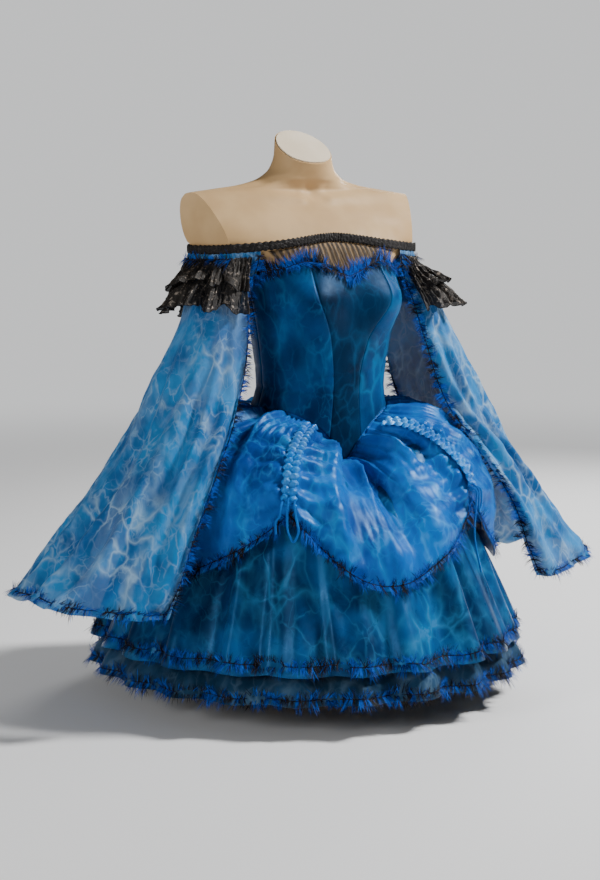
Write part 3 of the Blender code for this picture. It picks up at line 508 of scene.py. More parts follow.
def overskirt_point(turn, share):
    """A point of the overskirt with its gathers. Share 0 is the gathered edge and 1 the hem."""
    radius, height, centre = overskirt_mean(turn, share)
    swell = np.sin(math.pi * np.clip(share, 0, 1) ** 0.8) * 0.7 + 0.3 * share
    gather = GATHER_DEPTH * swell * np.cos(SCALLOPS * GATHERS_A_SCALLOP * turn)
    return polar(turn, radius + gather, height, centre)


def seam_drop(turn):
    """How far below the bodice's edge the overskirt is when it starts to stand out."""
    return bodice_edge(BODICE_BOTTOM, turn) - overskirt_mean(turn, OVERSKIRT_SHARES[0])[1]


def even_turns(first, last, columns):
    """Column turns of a piece, drawn in at both ends by half a seam gap."""
    turns = np.radians(np.linspace(first, last, columns + 1))
    return turns + SEAM_GAP / WAIST_RADIUS / 2 * np.linspace(1, -1, columns + 1)


# Skirt and flounce

def skirt_fold(turn, height):
    depth = SKIRT_FOLD_DEPTH * ease_in((SKIRT_FOLD_START - height) / SKIRT_FOLD_OVER)
    uneven = 1 + 0.25 * np.sin(3 * turn + 0.8) + (SKIRT_FOLD_MOST - 1.25) * np.sin(5 * turn)
    return depth * uneven * np.cos(SKIRT_FOLDS * turn)


def overskirt_at(turn, height):
    """Mean overskirt radius and centre at a height, found by halving. Below its hem it leaves all free."""
    near = np.zeros(np.broadcast(turn, height).shape)
    far = np.ones_like(near)
    for _ in range(HALVINGS):
        middle = (near + far) / 2
        below = overskirt_mean(turn, middle)[1] < height
        far = np.where(below, middle, far)
        near = np.where(below, near, middle)
    radius, _, centre = overskirt_mean(turn, near)
    hidden = height > overskirt_hem(turn)
    return np.where(hidden, radius, FREE_RADIUS), np.where(hidden, centre, OVERSKIRT_HEM_CENTRE_Y)


def skirt_point(turn, height, inset):
    """A point of the skirt at a height, or of a layer that is set in from it."""
    top = bodice_edge(BODICE_BOTTOM, turn)
    cover, centre = overskirt_at(turn, height)
    target = column(SKIRT, "radius", height) + skirt_fold(turn, height)
    target = np.minimum(target, cover - SKIRT_BELOW_OVERSKIRT)
    settled = ease_in((top - height - skirt_leaves(turn)) / SKIRT_TURNS_OUT_OVER)
    start = bodice_radius(turn, height) - BODICE_EASE + SKIRT_EASE
    radius = blend(start, target, settled) - inset
    return polar(turn, radius, height, blend(form_centre(height), centre, settled))


def skirt_leaves(turn):
    """How far below the bodice's edge the skirt leaves the form, inside the overskirt."""
    return SKIRT_LEAVES_SHARE * seam_drop(turn) + SKIRT_LEAVES_BELOW


# Casings and drawstrings

def closed_turns(first, columns):
    return np.radians(first + np.arange(columns) * 360 / columns)


def whole_overskirt():
    """The overskirt's grid all round, with its first column one scallop before the first casing."""
    grid = coarse_overskirt(closed_turns(CASING_TURNS[0] - SCALLOP_TURN, SCALLOPS * COLUMNS_A_SCALLOP))
    return grid, grid_normals(grid, closed=True)


def on_overskirt(row, place, lift):
    """A point over the overskirt's outer face, by grid row from the hem up and by grid column."""
    grid, normals = OVERSKIRT_ALL_ROUND
    return at_grid(grid, row, place) + unit(at_grid(normals, row, place)) * (SHEER_CLOTH + lift)


def casing_place(turn, sideways=0.0):
    """The overskirt's grid column at a turn in degrees, and some metres to one side of it."""
    turn = turn + math.degrees(sideways / OVERSKIRT_PEAK_RADIUS)
    return (turn - CASING_TURNS[0] + SCALLOP_TURN) * COLUMNS_A_SCALLOP / SCALLOP_TURN


def cord_stop(turn, sideways, lift):
    """A place over the casing's face, some way off it."""
    face = CASING_OFF + CASING_RIPPLE_DEPTH + SHEER_CLOTH
    return on_overskirt(CORD_EXIT_ROW, casing_place(turn, sideways), face + lift)


def beside_skirt(turn, height, clear):
    """A point that hangs clear of the skirt's folds."""
    widest = float(column(SKIRT, "radius", height)) + SKIRT_FOLD_MOST * SKIRT_FOLD_DEPTH
    radius = max(OVERSKIRT_PEAK_RADIUS + CORD_BEYOND_CASING, widest + CORD_CLEAR) + clear
    return polar(math.radians(turn), radius, height, OVERSKIRT_HEM_CENTRE_Y)


def hanging_way(way, turn, drop):
    """Points of a cord that hangs a given drop below its casing."""
    exit_height = float(cord_stop(turn, 0.0, 0.0)[2])
    points = []
    for row in way:
        height = exit_height - row.share * drop - row.drop
        points.append(beside_skirt(turn + row.aside, height, row.clear))
    return points


# Finer surfaces: rows read between the source's rows on a smooth curve

def refine(grid, at):
    """Rows of a grid at fractional row numbers, on smooth curves through its own rows."""
    at = np.clip(np.asarray(at, dtype=float), 0, len(grid) - 1)
    row = np.clip(at.astype(int), 0, len(grid) - 2)
    return between_rows(grid, np.gradient(grid, axis=0), row, (at - row)[:, None, None])


def unevenness(first, second, seed, waves=10):
    """Smooth repeatable noise of about unit size, from a sum of waves in many directions."""
    random = np.random.default_rng(seed)
    total = np.zeros(np.broadcast(first, second).shape)
    for _ in range(waves):
        way = random.uniform(0, FULL_TURN)
        pace = random.uniform(*WAVE_PACES)
        phase = random.uniform(0, FULL_TURN)
        total = total + np.sin(pace * (first * math.cos(way) + second * math.sin(way)) * FULL_TURN + phase)
    return total / math.sqrt(waves)


def pushed(grid, amount, closed=False):
    """The grid's points, moved out along their normals."""
    return grid + grid_normals(grid, closed) * amount[..., None]


def lengths(grid):
    """Distance along the columns and along the rows at each point, for the weave."""
    across = np.zeros(grid.shape[:2])
    down = np.zeros(grid.shape[:2])
    across[:, 1:] = np.cumsum(np.linalg.norm(np.diff(grid, axis=1), axis=2), axis=1)
    down[1:] = np.cumsum(np.linalg.norm(np.diff(grid, axis=0), axis=2), axis=0)
    return across.mean(axis=0)[None, :] + 0 * across, down.mean(axis=1)[:, None] + 0 * down


# Pieces

def show(piece, finish, nodes):
    piece.data.materials.append(finish)
    bpy.context.scene.collection.objects.link(piece)
    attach(piece, "root")
    if nodes:
        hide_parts(*nodes)
    return piece


def surface(name, grid, finish, nodes, thickness=0.0, closed=False):
    """A smooth sheet on a grid of points, with a thin wall outwards where it isn't sheer."""
    rows, columns = grid.shape[:2]
    index = np.arange(rows * columns).reshape(rows, columns)
    left = index if closed else index[:, :-1]
    right = np.roll(index, -1, axis=1) if closed else index[:, 1:]
    faces = np.stack((left[:-1], right[:-1], right[1:], left[1:]), axis=-1).reshape(-1, 4)
    data = bpy.data.meshes.new(name)
    data.from_pydata(grid.reshape(-1, 3).tolist(), [], faces.tolist())
    across, down = lengths(grid)
    layer = data.uv_layers.new(name="UVMap")
    corners = np.empty(len(data.loops), dtype=np.int32)
    data.loops.foreach_get("vertex_index", corners)
    layer.data.foreach_set("uv", np.stack((across.ravel()[corners], down.ravel()[corners]), axis=-1).ravel())
    data.shade_smooth()
    piece = bpy.data.objects.new(name, data)
    if thickness:
        wall = piece.modifiers.new("wall", "SOLIDIFY")
        wall.thickness = thickness
        wall.offset = 1.0
    return show(piece, finish, nodes)


def rope(name, points, radius, finish, nodes, closed=False):
    """A round thread or rolled edge along points."""
    data = bpy.data.curves.new(name, "CURVE")
    data.dimensions = "3D"
    data.bevel_depth = radius
    data.bevel_resolution = 2
    data.use_fill_caps = True
    spline = data.splines.new("POLY")
    spline.points.add(len(points) - 1)
    spline.points.foreach_set("co", np.concatenate((points, np.ones((len(points), 1))), axis=1).ravel())
    spline.use_cyclic_u = closed
    return show(bpy.data.objects.new(name, data), finish, nodes)


# Materials

WEAVE_SCALE = 260.0
WEAVE_STRENGTH = 0.25
WEAVE_DEPTH = 0.0003
CRINKLE_DEPTH = 0.004
ROUGH_BELOW = 0.07
ROUGH_ABOVE = 0.09
VEIN_STRETCH = (1.0, 1.0, 0.62)
HAZE_STRETCH = (1.0, 1.0, 0.28)
# How the veins are bent: size of the noise, and its share of the whole bend
VEIN_BENDS = ((0.55, 1.0), (1.7, 0.34))
# A wide and a fine net: scale, width, bend and strength beside the finish's own, and seed
VEIN_NETS = ((1.0, 1.0, 1.0, 1.0, 0.0), (1.9, 0.8, 0.6, 0.6, 3.1))


def node(tree, kind, inputs=(), output=0, **settings):
    """One output of a new shader node, whose inputs are values or other nodes' outputs."""
    made = tree.nodes.new("ShaderNode" + kind)
    for key, value in settings.items():
        setattr(made, key, value)
    for key, value in dict(inputs).items():
        if isinstance(value, bpy.types.NodeSocket):
            tree.links.new(value, made.inputs[key])
        else:
            made.inputs[key].default_value = value
    return made.outputs[output]


def tint(tree, factor, *colours):
    inputs = {0: factor}
    for place, colour in zip((6, 7), colours):
        inputs[place] = colour if isinstance(colour, bpy.types.NodeSocket) else (*colour, 1.0)
    return node(tree, "Mix", inputs, 2, data_type="RGBA")


def span(tree, value, low, high, to_low=0.0, to_high=1.0, smooth=True):
    inputs = {0: value, 1: low, 2: high, 3: to_low, 4: to_high}
    return node(tree, "MapRange", inputs, interpolation_type="SMOOTHSTEP" if smooth else "LINEAR")


def times(tree, first, second):
    return node(tree, "Math", {0: first, 1: second}, operation="MULTIPLY")


def noise(tree, where, scale, detail=2.0, distortion=0.0, output="Fac"):
    inputs = {"Vector": where, "Scale": scale, "Detail": detail, "Distortion": distortion}
    return node(tree, "TexNoise", inputs, output)


def veins(tree, where, scale, width, bend, seed):
    """A net of soft light lines, like light through moving water: uneven in width and strength."""
    inputs = {0: where, 1: VEIN_STRETCH, 2: (seed, 0.7 * seed, 0.3 * seed)}
    shifted = node(tree, "VectorMath", inputs, operation="MULTIPLY_ADD")
    bent = shifted
    for size, share in VEIN_BENDS:
        drift = noise(tree, shifted, scale * size, output="Color")
        centred = node(tree, "VectorMath", {0: drift, 1: (0.5, 0.5, 0.5)}, operation="SUBTRACT")
        scaled = node(tree, "VectorMath", {0: centred, "Scale": bend * share}, operation="SCALE")
        bent = node(tree, "VectorMath", {0: bent, 1: scaled})
    edge = node(tree, "TexVoronoi", {"Vector": bent, "Scale": scale}, "Distance", feature="DISTANCE_TO_EDGE")
    reach = span(tree, noise(tree, shifted, scale * 0.9), 0.34, 0.66, width * 0.35, width * 2.1)
    near = node(tree, "Math", {0: edge, 1: reach}, operation="DIVIDE")
    line = span(tree, near, 0.0, 1.0, 1.0, 0.0, smooth=False)
    patches = span(tree, noise(tree, shifted, scale * 0.45, 3.0), 0.40, 0.66, 0.12, 1.0)
    return times(tree, times(tree, line, line), patches)


def weave_bump(tree, place, crinkle, crinkle_scale):
    """Threads both ways, on the cloth's own lengths, over a finer crinkle; and the crinkle itself."""
    inputs = {"Vector": node(tree, "TexCoord", (), "UV"), "Scale": WEAVE_SCALE}
    warp, weft = (node(tree, "TexWave", inputs, "Fac", bands_direction=way) for way in "XY")
    inputs = {"Height": times(tree, warp, weft), "Strength": WEAVE_STRENGTH, "Distance": WEAVE_DEPTH}
    woven = node(tree, "Bump", inputs)
    creases = noise(tree, place, crinkle_scale, 5.0, 0.6)
    inputs = {"Height": creases, "Strength": crinkle, "Distance": CRINKLE_DEPTH, "Normal": woven}
    return node(tree, "Bump", inputs), creases


def gathered_cover(tree, spacing):
    """How much a gathered sheer cloth covers: most in its folds and little between them."""
    inputs = {"Vector": node(tree, "TexCoord", (), "UV"), "Scale": 0.314 / spacing, "Distortion": 2.2,
              "Detail": 2.0, "Detail Scale": 1.4}
    folds = node(tree, "TexWave", inputs, "Fac", bands_direction="X")
    return span(tree, folds, 0.15, 0.95, 0.34, 0.90)


def cloth_finish(name, deep, bright, vein, look):
    """Two tones in soft patches, with painted highlights on the crinkle's crests or with water-like veins."""
    made = bpy.data.materials.new(name)
    made.use_nodes = True
    tree = made.node_tree
    shader = tree.nodes["Principled BSDF"]
    place = node(tree, "TexCoord", (), "Object")
    colour = tint(tree, span(tree, noise(tree, place, look["patch"], 3.0), 0.35, 0.65), deep, bright)
    normal, creases = weave_bump(tree, place, look["crinkle"], look["crinkle_scale"])
    # Painted highlight: the crests of the crinkle are mixed towards a lighter colour.
    if "glint" in look:
        painted_crest_mask = span(tree, creases, 0.56, 0.72)
        colour = tint(tree, times(tree, painted_crest_mask, 0.8), colour, look["glint"])
    if vein:
        drawn = node(tree, "VectorMath", {0: place, 1: HAZE_STRETCH}, operation="MULTIPLY")
        haze = span(tree, noise(tree, drawn, 26.0, 4.0, 0.4), 0.50, 0.74, 0.0, look["haze"])
        colour = tint(tree, haze, colour, vein)
        for size, width, bend, strength, seed in VEIN_NETS:
            net = veins(tree, place, look["vein_scale"] * size, look["vein_width"] * width,
                        look["bend"] * bend, seed)
            colour = tint(tree, times(tree, net, look["vein_strength"] * strength), colour, vein)
    tree.links.new(colour, shader.inputs["Base Color"])
    rough = span(tree, noise(tree, place, 35.0, 3.0), 0.3, 0.7,
                 look["rough"] - ROUGH_BELOW, look["rough"] + ROUGH_ABOVE)
    tree.links.new(rough, shader.inputs["Roughness"])
    tree.links.new(normal, shader.inputs["Normal"])
    shader.inputs["Metallic"].default_value = 0.0
    shader.inputs["Specular IOR Level"].default_value = look["specular"]
    shader.inputs["Specular Tint"].default_value = (*look["shine"], 1.0)
    shader.inputs["Sheen Weight"].default_value = look["sheen"]
    shader.inputs["Sheen Tint"].default_value = (*look["shine"], 1.0)
    shader.inputs["Sheen Roughness"].default_value = 0.45
    shader.inputs["Alpha"].default_value = look.get("alpha", 1.0)
    if "gathers" in look:
        tree.links.new(gathered_cover(tree, look["gathers"]), shader.inputs["Alpha"])
    made.diffuse_color = (*bright, 1.0)
    return made


WATER = dict(patch=10.0, crinkle=0.30, crinkle_scale=60.0, vein_scale=21.0, vein_width=0.110, bend=0.075,
             vein_strength=0.6, rough=0.50, sheen=0.10, specular=0.25, shine=(0.16, 0.50, 1.0), haze=0.3)
SATIN = dict(WATER, vein_strength=0.55, crinkle=0.12, haze=0.15, shine=(0.08, 0.42, 1.0))
DARK = dict(WATER, shine=(0.85, 0.80, 0.75), sheen=0.05, specular=0.3)
COVER = dict(DARK, shine=(1.0, 0.95, 0.88), sheen=0.0, specular=0.22, crinkle=0.02, crinkle_scale=30.0)
THREAD = dict(patch=60.0, crinkle=0.2, crinkle_scale=500.0)
# Key, material, deep and bright tone, vein colour, and look
FINISH = {key: cloth_finish(*row) for key, *row in (
    ("teal", "bodice_satin", (0.0001, 0.005, 0.020), (0.0002, 0.019, 0.062), (0.003, 0.080, 0.200),
     dict(SATIN, rough=0.48, sheen=0.05)),
    # The side and back panels: the front's satin painted lighter, a painted highlight where light falls on the
    # sides.
    ("side", "bodice_side_satin", (0.0001, 0.012, 0.056), (0.0002, 0.048, 0.165), (0.006, 0.170, 0.380),
     dict(SATIN, rough=0.44, sheen=0.20)),
    ("bright", "overskirt_organza", (0.0001, 0.040, 0.230), (0.0002, 0.108, 0.450), (0.035, 0.300, 0.720),
     dict(WATER, vein_strength=0.70, rough=0.33, sheen=0.05, crinkle=0.07, specular=0.32,
          shine=(0.15, 0.50, 1.0), haze=0.15)),
    # The casings: the overskirt's organza painted lighter, a painted highlight on the ruching.
    ("ruched", "casing_organza", (0.0002, 0.110, 0.460), (0.0060, 0.250, 0.720), (0.200, 0.520, 0.860),
     dict(WATER, vein_strength=0.5, rough=0.28, sheen=0.05, crinkle=0.25, specular=0.5,
          shine=(0.45, 0.70, 1.0))),
    ("skirt", "skirt_organza", (0.0001, 0.021, 0.080), (0.0002, 0.075, 0.240), (0.035, 0.230, 0.470),
     dict(WATER, vein_strength=0.55, vein_scale=19.0, rough=0.32, sheen=0.06, crinkle=0.10, specular=0.42,
          shine=(0.20, 0.52, 1.0))),
    ("flounce", "flounce_organza", (0.005, 0.022, 0.050), (0.020, 0.060, 0.125), (0.110, 0.190, 0.270),
     dict(WATER, vein_strength=0.5, alpha=0.90)),
    ("sky", "sleeve_organza", (0.0030, 0.085, 0.280), (0.020, 0.205, 0.490), (0.330, 0.510, 0.680),
     dict(WATER, vein_strength=0.72, alpha=0.965, vein_scale=24.0, vein_width=0.105, patch=14.0, sheen=0.22,
          shine=(0.40, 0.68, 1.0), haze=0.28)),
    # The ruffle's crinkle crests carry a painted highlight.
    ("charcoal", "ruffle_chiffon", (0.006, 0.005, 0.005), (0.030, 0.026, 0.023), None,
     dict(DARK, crinkle=1.0, crinkle_scale=150.0, glint=(0.420, 0.350, 0.290), alpha=0.94, rough=0.55)),
    # The band's crinkle crests carry a faint painted highlight.
    ("band", "ruched_band", (0.003, 0.003, 0.004), (0.010, 0.009, 0.010), None,
     dict(DARK, crinkle=0.8, crinkle_scale=220.0, glint=(0.060, 0.052, 0.046), rough=0.55)),
    ("yoke", "yoke_chiffon", (0.006, 0.005, 0.005), (0.022, 0.018, 0.016), None,
     dict(DARK, crinkle=0.6, crinkle_scale=160.0, gathers=0.0105, rough=0.6)),
    ("edge", "rolled_edge", (0.002, 0.002, 0.003), (0.006, 0.006, 0.008), None,
     dict(DARK, crinkle=0.4, crinkle_scale=400.0, rough=0.6)),
    ("cream", "form_cover", (0.49, 0.31, 0.145), (0.58, 0.385, 0.195), None, dict(COVER, rough=0.55)),
    # The neck cap: the form's cream cover painted much lighter, as painted light from above.
    ("cap", "neck_cap_cover", (0.74, 0.62, 0.46), (0.82, 0.71, 0.55), None, dict(COVER, rough=0.45)),
    ("cord", "drawstring_braid", (0.0010, 0.085, 0.420), (0.0030, 0.190, 0.660), None,
     dict(WATER, crinkle=0.7, crinkle_scale=700.0, rough=0.45)),
    ("thread", "blue_threads", (0.0006, 0.030, 0.250), (0.0020, 0.110, 0.620), None,
     dict({**WATER, **THREAD}, rough=0.7, alpha=0.72)),
    ("dark_thread", "dark_threads", (0.002, 0.002, 0.005), (0.012, 0.008, 0.010), None,
     dict({**DARK, **THREAD}, rough=0.75, alpha=0.78)),
)}


# Camera, floor and lights

CAMERA_TURN = math.radians(-30.0)
CAMERA_RISE = math.radians(6.6)
CAMERA_DISTANCE = 3.4
CAMERA_LENS = 79.5
CAMERA_TARGET = (-0.010, 0.0, 0.434)
FLOOR_HALF = 14.0
FLOOR_DROP = 0.0005
FLOOR_TONE = (0.86, 0.86, 0.86)
FLOOR_FADES_FROM = 1.6
FLOOR_FADES_TO = 5.5
LIGHTS = table(
    "name place size power",
    ("key", (2.2, -1.3, 3.0), 0.5, 215),
    ("left", (-3.1, -0.9, 1.3), 1.0, 40),
    ("rim", (2.4, 1.9, 1.6), 1.0, 45),
)
LIGHTS_AIM = (0, 0, 0.5)
WORLD_LIGHT = 0.11
WORLD_SEEN = 0.85
WORLD_COLOUR = (0.94, 0.95, 0.96, 1.0)


def place_camera():
    back = Vector((math.sin(CAMERA_TURN) * math.cos(CAMERA_RISE), -math.cos(CAMERA_TURN) * math.cos(CAMERA_RISE),
                   math.sin(CAMERA_RISE)))
    data = bpy.data.cameras.new("camera")
    data.lens = CAMERA_LENS
    data.clip_end = 50
    camera = bpy.data.objects.new("camera", data)
    camera.location = Vector(CAMERA_TARGET) + back * CAMERA_DISTANCE
    camera.rotation_euler = back.to_track_quat("Z", "Y").to_euler()
    bpy.context.scene.collection.objects.link(camera)
    bpy.context.scene.camera = camera


def place_floor():
    """A pale floor that fades into the backdrop's own light, so that no horizon shows."""
    corners = [(x * FLOOR_HALF, y * FLOOR_HALF, 0) for x, y in ((-1, -1), (1, -1), (1, 1), (-1, 1))]
    floor = bpy.data.meshes.new("floor")
    floor.from_pydata(corners, [], [(0, 1, 2, 3)])
    ground = bpy.data.objects.new("floor", floor)
    paint = bpy.data.materials.new("floor_paint")
    paint.use_nodes = True
    tree = paint.node_tree
    shader = tree.nodes["Principled BSDF"]
    place = node(tree, "TexCoord", (), "Object")
    away = node(tree, "VectorMath", {0: place}, "Value", operation="LENGTH")
    far = span(tree, away, FLOOR_FADES_FROM, FLOOR_FADES_TO)
    tree.links.new(tint(tree, far, FLOOR_TONE, (0.0, 0.0, 0.0)), shader.inputs["Base Color"])
    tree.links.new(times(tree, far, WORLD_SEEN), shader.inputs["Emission Strength"])
    shader.inputs["Emission Color"].default_value = WORLD_COLOUR
    shader.inputs["Specular IOR Level"].default_value = 0.0
    shader.inputs["Roughness"].default_value = 0.7
    floor.materials.append(paint)
    ground.location.z = -FLOOR_DROP
    bpy.context.scene.collection.objects.link(ground)


def place_lights():
    world = bpy.data.worlds.new("studio")
    world.use_nodes = True
    tree = world.node_tree
    seen = node(tree, "LightPath", (), "Is Camera Ray")
    light = node(tree, "MapRange", {0: seen, 3: WORLD_LIGHT, 4: WORLD_SEEN})
    tree.nodes["Background"].inputs[0].default_value = WORLD_COLOUR
    tree.links.new(light, tree.nodes["Background"].inputs[1])
    bpy.context.scene.world = world
    for row in LIGHTS:
        lamp = bpy.data.lights.new(row.name, "AREA")
        lamp.size = row.size
        lamp.energy = row.power
        light = bpy.data.objects.new(row.name, lamp)
        light.location = row.place
        light.rotation_euler = (Vector(LIGHTS_AIM) - light.location).to_track_quat("-Z", "Y").to_euler()
        bpy.context.scene.collection.objects.link(light)


# The form

FORM_LEVELS = np.concatenate((np.arange(0.0, 0.83, 0.010), np.arange(0.83, 0.91, 0.0016),
                              np.arange(0.912, 0.99, 0.008), [0.99]))
FORM_TURNS = np.radians(np.arange(0, 360, 3.0))
FORM_SHARP = math.radians(35)
COLLARBONE_RISE = 0.0042
COLLARBONE_HOLLOW = 0.0052
THROAT_NOTCH = 0.0050
CUT_NEARNESS = 1e-6


def fine_form():
    mesh = bmesh.new()
    grid = np.array([polar(FORM_TURNS, form_radius(FORM_TURNS, h), h, form_centre(h)) for h in FORM_LEVELS])
    grid = pushed(grid, collarbones(grid), closed=True)
    rings = [[mesh.verts.new(p) for p in row] for row in grid]
    for lower, upper in zip(rings, rings[1:]):
        for index in range(len(lower)):
            after = (index + 1) % len(lower)
            mesh.faces.new((lower[index], lower[after], upper[after], upper[index]))
    mesh.faces.new(rings[0][::-1])
    mesh.faces.new(rings[-1])
    for side in (1, -1):
        cut_flat(mesh, (side * PLATE_X, PLATE_Y, PLATE_HEIGHT), plate_normal(side), PLATE_CUTS_ABOVE)
    neck_normal = Vector((0, -math.sin(NECK_CUT_TILT), math.cos(NECK_CUT_TILT)))
    cut_flat(mesh, (0, float(form_centre(NECK_CUT_HEIGHT)), NECK_CUT_HEIGHT), neck_normal, PLATE_HEIGHT)
    bmesh.ops.recalc_face_normals(mesh, faces=mesh.faces)
    data = bpy.data.meshes.new("form_body")
    mesh.to_mesh(data)
    mesh.free()
    data.shade_smooth()
    data.set_sharp_from_angle(angle=FORM_SHARP)
    show(bpy.data.objects.new("form_body", data), FINISH["cream"], ["dress_form"])
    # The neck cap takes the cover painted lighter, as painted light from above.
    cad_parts["neck_cap"].data.materials.clear()
    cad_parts["neck_cap"].data.materials.append(FINISH["cap"])


def collarbones(grid):
    """Soft ridges from the throat to the shoulders, with a hollow above each and one between them."""
    x, y, z = np.moveaxis(grid, -1, 0)
    aside = np.abs(x)
    front = ease_in((0.012 - y) / 0.02)
    ridge_y = -0.034 + 0.16 * np.clip(aside - 0.03, 0, 1)
    along = within(aside, low=0.012, rise=0.02, high=0.200, fall=0.06)
    high = within(z, low=0.838, rise=0.012, high=0.892, fall=0.01)
    ridge = COLLARBONE_RISE * np.exp(-((y - ridge_y) / 0.011) ** 2)
    hollow = -COLLARBONE_HOLLOW * np.exp(-((y - ridge_y - 0.024) / 0.012) ** 2)
    notch = -THROAT_NOTCH * np.exp(-(x / 0.014) ** 2 - ((z - 0.866) / 0.012) ** 2)
    return front * (along * high * (ridge + hollow) + notch)


def cut_flat(mesh, point, normal, above):
    """Cut off what lies past a plane, of the part of the mesh above a height, and close the cut."""
    part = [vert for vert in mesh.verts if vert.co.z > above]
    for elements in (mesh.edges, mesh.faces):
        part += [element for element in elements if min(vert.co.z for vert in element.verts) > above]
    bmesh.ops.bisect_plane(mesh, geom=part, dist=CUT_NEARNESS, plane_co=point, plane_no=normal, clear_outer=True)
    bmesh.ops.contextual_create(mesh, geom=[edge for edge in mesh.edges if edge.is_boundary])


# Neckline

BAND_COLUMNS = 900
BAND_ROWS = 11
BAND_FLUTES = 118
BAND_WALL = 0.0009
BAND_LIFT = 0.0004
BAND_BULGE = 0.0012
BAND_PUFF = 0.0007
BAND_FLUTE = 0.0006
BAND_FLUTE_SWING = 0.0009
YOKE_COLUMNS = 340
YOKE_ROWS = 20
YOKE_FINE_WAVES = 23
YOKE_FOLD = YOKE_RIPPLE * 0.8
YOKE_FINE_FOLD = 0.0008


def fine_band():
    turns = np.arange(BAND_COLUMNS) * FULL_TURN / BAND_COLUMNS
    across = np.linspace(0, 1, BAND_ROWS)[:, None]
    coarse = np.cos(wavy(turns, count=BAND_WAVES, bend=0.9, bends=7))
    small = np.cos(wavy(turns, count=BAND_FLUTES, bend=1.6, bends=11))
    small = small * (0.7 + 0.3 * unevenness(turns * 9, 0, seed=5))
    edge = np.abs(2 * across - 1)
    bulge = BAND_BULGE * np.sqrt(np.clip(1 - edge ** 2, 0, 1))
    lift = BAND_LIFT + bulge + BAND_PUFF * (1 + coarse) / 2 + BAND_FLUTE * small * (0.5 + 0.9 * edge)
    flutes = BAND_FLUTE_SWING * edge * np.sign(across - 0.5) * np.cos(BAND_FLUTES * turns + 1.2)
    height = band_bottom(turns) + across * BAND_WIDTH
    grid = polar(turns, band_radius(turns) + lift, height + flutes, BAND_CENTRE_Y)
    piece = surface("ruched_band", grid, FINISH["band"], ["neck_band"], BAND_WALL, closed=True)


def fine_yoke(side, middle):
    turns = middle + np.linspace(-YOKE_TURN, YOKE_TURN, YOKE_COLUMNS + 1)
    low = bodice_edge(BODICE_TOP, turns) - TUCK
    high = band_bottom(turns) - YOKE_BELOW_BAND
    share = np.linspace(0, 1, YOKE_ROWS)[:, None]
    height = blend(low, high, share)
    centre = blend(form_centre(low), BAND_CENTRE_Y, share)
    on_form = reach_from(turns + 0 * share, height, centre) + blend(YOKE_EASE, BAND_EASE, share ** 2)
    on_form = np.maximum(on_form, np.where(share > 0.98, band_radius(turns), 0))
    swell = np.sin(math.pi * share) ** 1.2
    steps = (turns - middle) / YOKE_TURN
    folds = 0.5 + 0.5 * np.cos(FULL_TURN * YOKE_WAVES * (steps + 0.05 * np.sin(9 * steps)))
    fine = 0.5 + 0.5 * np.cos(FULL_TURN * YOKE_FINE_WAVES * (steps + 0.03 * np.sin(17 * steps + 2 * share)))
    radius = on_form + swell * (YOKE_FOLD * folds + YOKE_FINE_FOLD * fine)
    grid = polar(turns, radius, height, centre)
    name = "yoke_" + side
    piece = surface(name + "_chiffon", grid, FINISH["yoke"], [name])


# Bodice

PANEL_ROWS = 70
# Soft cross creases at the waist and under the bust
STRAIN = table(
    "level lean width depth at",
    (0.556, 0.010, 0.0045, 0.0014, 0.3),
    (0.538, -0.012, 0.0040, 0.0016, 1.6),
    (0.521, 0.014, 0.0050, 0.0013, 2.9),
    (0.574, -0.008, 0.0040, 0.0009, 4.4),
    (0.628, 0.012, 0.0050, 0.0008, 5.2),
)
# Each panel's seams, its columns, and the width, length and flat area that it is cut to
PANELS = table(
    "name start end columns width length area",
    ("side_front_right", straight_seam(-SIDE_SEAM_TURN), princess(-1), 42, 0.20, 0.30, 0.0375),
    ("front_centre", princess(-1), princess(1), 42, 0.17, 0.33, 0.0315),
    ("side_front_left", princess(1), straight_seam(SIDE_SEAM_TURN), 42, 0.20, 0.30, 0.0375),
    ("back_left", straight_seam(SIDE_SEAM_TURN), straight_seam(BACK_SEAM_TURN), 46, 0.22, 0.26, 0.046),
    ("back_right", straight_seam(-BACK_SEAM_TURN), straight_seam(-SIDE_SEAM_TURN), 46, 0.22, 0.26, 0.046),
)


def strain(turn, height):
    total = np.zeros(np.broadcast(turn, height).shape)
    for row in STRAIN:
        line = height - row.level - row.lean * np.sin(turn + row.at)
        total = total - row.depth * np.exp(-(line / row.width) ** 2) * (0.5 + 0.5 * np.cos(turn * 2 + row.at))
    return total


def fine_panel(panel):
    across = np.linspace(0, 1, panel.columns + 1)
    rows = []
    for share in np.linspace(0, 1, PANEL_ROWS):
        turn = blend(panel.start(BUST_HEIGHT), panel.end(BUST_HEIGHT), across)
        for _ in range(HALVINGS // 2):
            height = blend(bodice_edge(BODICE_BOTTOM, turn), bodice_edge(BODICE_TOP, turn), share)
            turn = blend(panel.start(height), panel.end(height), across)
        gap = SEAM_GAP / 2 / bodice_radius(turn, height)
        turn = turn + gap * (1 - 2 * across)
        soft = 0.0009 * (1 - np.abs(2 * across - 1) ** 14) - 0.0006
        radius = bodice_radius(turn, height) + soft + strain(turn, height)
        rows.append(polar(turn, radius, height, form_centre(height)))
    grid = np.array(rows)
    name = "bodice_" + panel.name
    # The side and back panels take the satin painted lighter, as a painted highlight.
    finish = FINISH["teal" if panel.name == "front_centre" else "side"]
    piece = surface(name + "_satin", grid, finish, [name], BODICE_CLOTH)
    return grid


# Sleeves and shoulder ruffles

SLEEVE_COLUMNS = 140
SLEEVE_ROWS = 130
SLEEVE_LIFT = 0.0006
SLEEVE_LONG_FOLD = 0.0046
SLEEVE_SOFT_FOLD = 0.0060
SLEEVE_GATHER = 0.0022
SLEEVE_GATHERS = 34
SLEEVE_CRINKLE = 0.0011
RUFFLE_COLUMNS = 360
RUFFLE_ROWS = 26
RUFFLE_FLARE = 0.005
RUFFLE_CRINKLE = 0.0024
RUFFLE_UNEVEN = 0.0013
RUFFLE_CRINKLES = 38
HEM_ROLL_RADIUS = 0.0008


